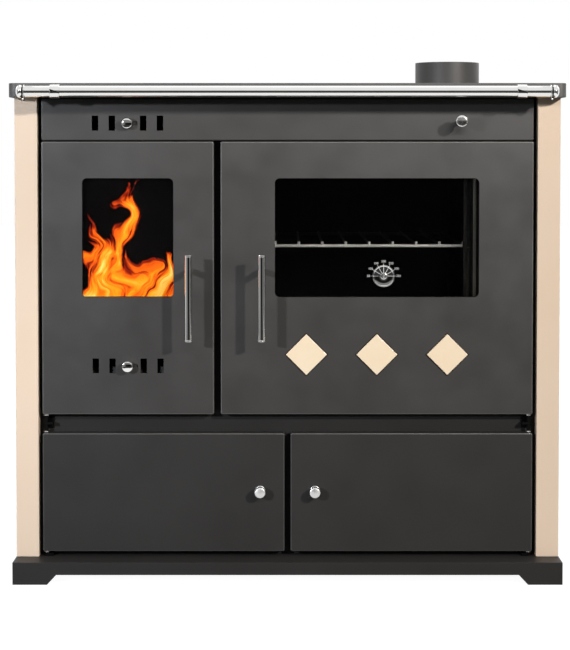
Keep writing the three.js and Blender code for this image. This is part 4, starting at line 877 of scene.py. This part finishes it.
flame_sheet = bmesh.new()
add_block(flame_sheet, (-0.3358, -0.2308, 0.4655), (-0.1873, -0.2303, 0.6595), 0.0001, 1)
flame_backing = finished(flame_sheet, "flame_backing", "fire_door", fire_print)
flame_backing.data.materials.append(black_sheet)
for face in flame_backing.data.polygons:
    if face.normal.y > -0.5:
        face.material_index = 1

# Rope round the inner frame of each upper door

def rope_ring(name, body, left, right, bottom, top):
    bm = bmesh.new()
    y, radius = -0.2219, 0.0026
    for z in (bottom, top):
        add_turned(bm, rounded_rod(radius, right - left, 0.0001), (left, y, z), "right", 16)
    for x in (left, right):
        add_turned(bm, rounded_rod(radius, top - bottom, 0.0001), (x, y, bottom), "up", 16)
        for z in (bottom, top):
            ball = bmesh.ops.create_uvsphere(bm, u_segments=16, v_segments=12, radius=radius)["verts"]
            bmesh.ops.translate(bm, vec=(x, y, z), verts=ball)
    finished(bm, name, body, rope, sharp=60)


rope_ring("fire_door_rope", "fire_door", -0.3830, -0.1370, 0.2810, 0.7050)
rope_ring("oven_door_rope", "oven_door", -0.0790, 0.3080, 0.2990, 0.7050)

# Screws of the inner frames, the storage knobs and the back panel

def screws(name, body, places):
    """Screws driven in from behind."""
    bm = bmesh.new()
    for place in places:
        add_screw(bm, place, "back")
    finished(bm, name, body, dull_chrome)


for door, columns in (("fire_door", (-0.352, -0.2615, -0.171)), ("oven_door", (-0.005, 0.146, 0.283))):
    screws(f"{door}_frame_screws", door, [(x, -0.2249, z) for x in columns for z in (0.448, 0.677)])
for side, label in ((-1, "left"), (1, "right")):
    screws(f"storage_{label}_knob_screw", f"storage_{label}", [(side * STORAGE_KNOB_X, -0.2392, STORAGE_KNOB_Z)])
low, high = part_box("back_panel")
rear = high[1] - 0.0003
left, right = low[0] + 0.02, high[0] - 0.02
across = [(x, rear, z) for x in (left, -0.2, 0.0, 0.2, right) for z in (low[2] + 0.03, high[2] - 0.06)]
screws("back_screws", "carcass", across + [(x, rear, z) for x in (left, right) for z in (0.3, 0.5)])


# Studio

def soft_lamp(name, place, aim_at, size, power, colour=(1.0, 1.0, 1.0), spread=180):
    light = bpy.data.lights.new(name, "AREA")
    light.shape = "RECTANGLE"
    light.size, light.size_y = size
    light.energy = power
    light.color = colour
    light.spread = math.radians(spread)
    lamp = bpy.data.objects.new(name, light)
    scene.collection.objects.link(lamp)
    lamp.location = place
    lamp.rotation_euler = (Vector(aim_at) - Vector(place)).to_track_quat("-Z", "Y").to_euler()
    return lamp


soft_lamp("right_softbox", (1.9, -2.75, 1.7), (0, -0.24, 0.5), (0.15, 0.13), 87, (1.0, 0.955, 0.905))
soft_lamp("left_softbox", (-1.85, -2.75, 1.15), (-0.45, -0.24, 0.35), (0.16, 0.13), 5.0, (0.92, 0.965, 1.05),
          spread=50)
for label, side, power, colour in (("left", -1, 0.006, (0.85, 0.94, 1.0)), ("right", 1, 0.002, (1.0, 0.93, 0.85))):
    soft_lamp(f"{label}_edge_light", (side * 0.72, -1.25, 0.15), (side * 0.432, -0.24, 0.765), (0.03, 0.03),
              power, colour, spread=12)
sheen = soft_lamp("sheen_softbox", (0.6, -2.75, 1.6), (0, -0.24, 0.6), (1.8, 0.16), 52, (1.0, 0.97, 0.94))
sheen.visible_diffuse = False
for label, side, power in (("left", -1, 9.0), ("right", 1, 14.0)):
    soft_lamp(f"{label}_rear_softbox", (side * 2.0, 2.4, 1.7), (0, 0.1, 0.5), (1.0, 1.0), power)
soft_lamp("overhead_softbox", (0, 0.7, 2.6), (0, 0.2, 0.8), (1.4, 1.4), 7)


def seen_directly(tree):
    """1 for rays from the camera, off metal and through glass, else 0."""
    path = tree.nodes.new("ShaderNodeLightPath")
    seen = path.outputs["Is Camera Ray"]
    for ray in ("Is Glossy Ray", "Is Transmission Ray"):
        either = tree.nodes.new("ShaderNodeMath")
        either.operation = "MAXIMUM"
        tree.links.new(seen, either.inputs[0])
        tree.links.new(path.outputs[ray], either.inputs[1])
        seen = either.outputs[0]
    return seen


world = bpy.data.worlds.new("studio")
scene.world = world
world.use_nodes = True
sky = world.node_tree
background = sky.nodes["Background"]
background.inputs["Color"].default_value = (1, 1, 1, 1)
strength = sky.nodes.new("ShaderNodeMapRange")
strength.inputs["To Min"].default_value = 0.01
strength.inputs["To Max"].default_value = 1.0
sky.links.new(seen_directly(sky), strength.inputs["Value"])
sky.links.new(strength.outputs["Result"], background.inputs["Strength"])

floor_paper = Recipe("floor_paper", (0.12, 0.12, 0.12), 0.9)
floor_paper.relief(floor_paper.noise(60.0, 2.0), 0.0002)
floor_paper.shader.inputs["Emission Color"].default_value = (1, 1, 1, 1)
floor_paper.link(floor_paper.maths("MULTIPLY", seen_directly(floor_paper.tree), 0.96),
                 floor_paper.shader.inputs["Emission Strength"])
floor_mesh = bmesh.new()
bmesh.ops.create_grid(floor_mesh, x_segments=4, y_segments=4, size=12.0)
floor = placed(floor_mesh, "floor", floor_paper.material)

# the unlit room behind the camera, wall and carpet, which only gloss, chrome and glass see

ROOM_HALF = 5.2
room_cloth = Recipe("dark_room_cloth", (0.012, 0.012, 0.012), 0.95)
room_cloth.tint(room_cloth.noise(3.0, 2.0), (0.02, 0.02, 0.02))
across, _, upwards = room_cloth.axes()
screens = room_cloth.ramp(room_cloth.span(across, -ROOM_HALF, ROOM_HALF),
                          [(place, (grey,) * 3) for place, grey in (
                              (0.0, 0.5), (0.10, 0.28), (0.31, 0.2), (0.38, 0.0), (0.76, 0.0),
                              (0.80, 0.3), (0.87, 0.3), (0.90, 0.02), (1.0, 0.12))])
screens = room_cloth.mixed(room_cloth.span(upwards, 0.85, 1.15), screens, (0.24, 0.235, 0.23, 1.0))
room_cloth.link(screens, room_cloth.shader.inputs["Emission Color"])
room_cloth.shader.inputs["Emission Strength"].default_value = 1.0
room_mesh = bmesh.new()
outline = ((0, -1.7, 0.004), (0, -ROOM_HALF, 0.004), (0, -ROOM_HALF, 2.4))
wall = [room_mesh.verts.new(place) for place in outline]
edges = [room_mesh.edges.new(pair) for pair in zip(wall, wall[1:])]
bmesh.ops.rotate(room_mesh, cent=(0, 0, 0), matrix=Matrix.Rotation(math.radians(-85), 3, "Z"), verts=wall)
swept(room_mesh, wall + edges, math.radians(170), 48)
room = placed(room_mesh, "dark_room", room_cloth.material)
room.visible_camera = False
room.visible_diffuse = False
room.visible_shadow = False

# the dark enamel's gloss takes the sheen lamp and leaves out the bright floor

enamelled = bpy.data.collections.new("enamelled")
others = bpy.data.collections.new("others")
for piece in [thing for thing in scene.collection.all_objects if thing.type == "MESH"]:
    finishes = set(piece.data.materials)
    if finishes & {anthracite, anthracite_shaded_low, upper_shaded_enamel}:
        enamelled.objects.link(piece)
    elif plinth_shaded_enamel not in finishes:
        others.objects.link(piece)
sheen.light_linking.receiver_collection = enamelled
floor.light_linking.receiver_collection = others

# Camera, square to the front and tilted down a little

EYE_DISTANCE, EYE_HEIGHT, TILT = 3.041, 0.714, 2
camera_data = bpy.data.cameras.new("camera")
camera_data.sensor_fit = "HORIZONTAL"
camera_data.sensor_width = 36.0
camera_data.lens = 108.2
camera_data.shift_x = -0.0044
camera_data.shift_y = -0.2105
camera = bpy.data.objects.new("camera", camera_data)
scene.collection.objects.link(camera)
camera.location = (0.0, -EYE_DISTANCE, EYE_HEIGHT)
camera.rotation_euler = (math.radians(90 - TILT), 0, 0)
scene.camera = camera

scene.view_settings.view_transform = "Standard"
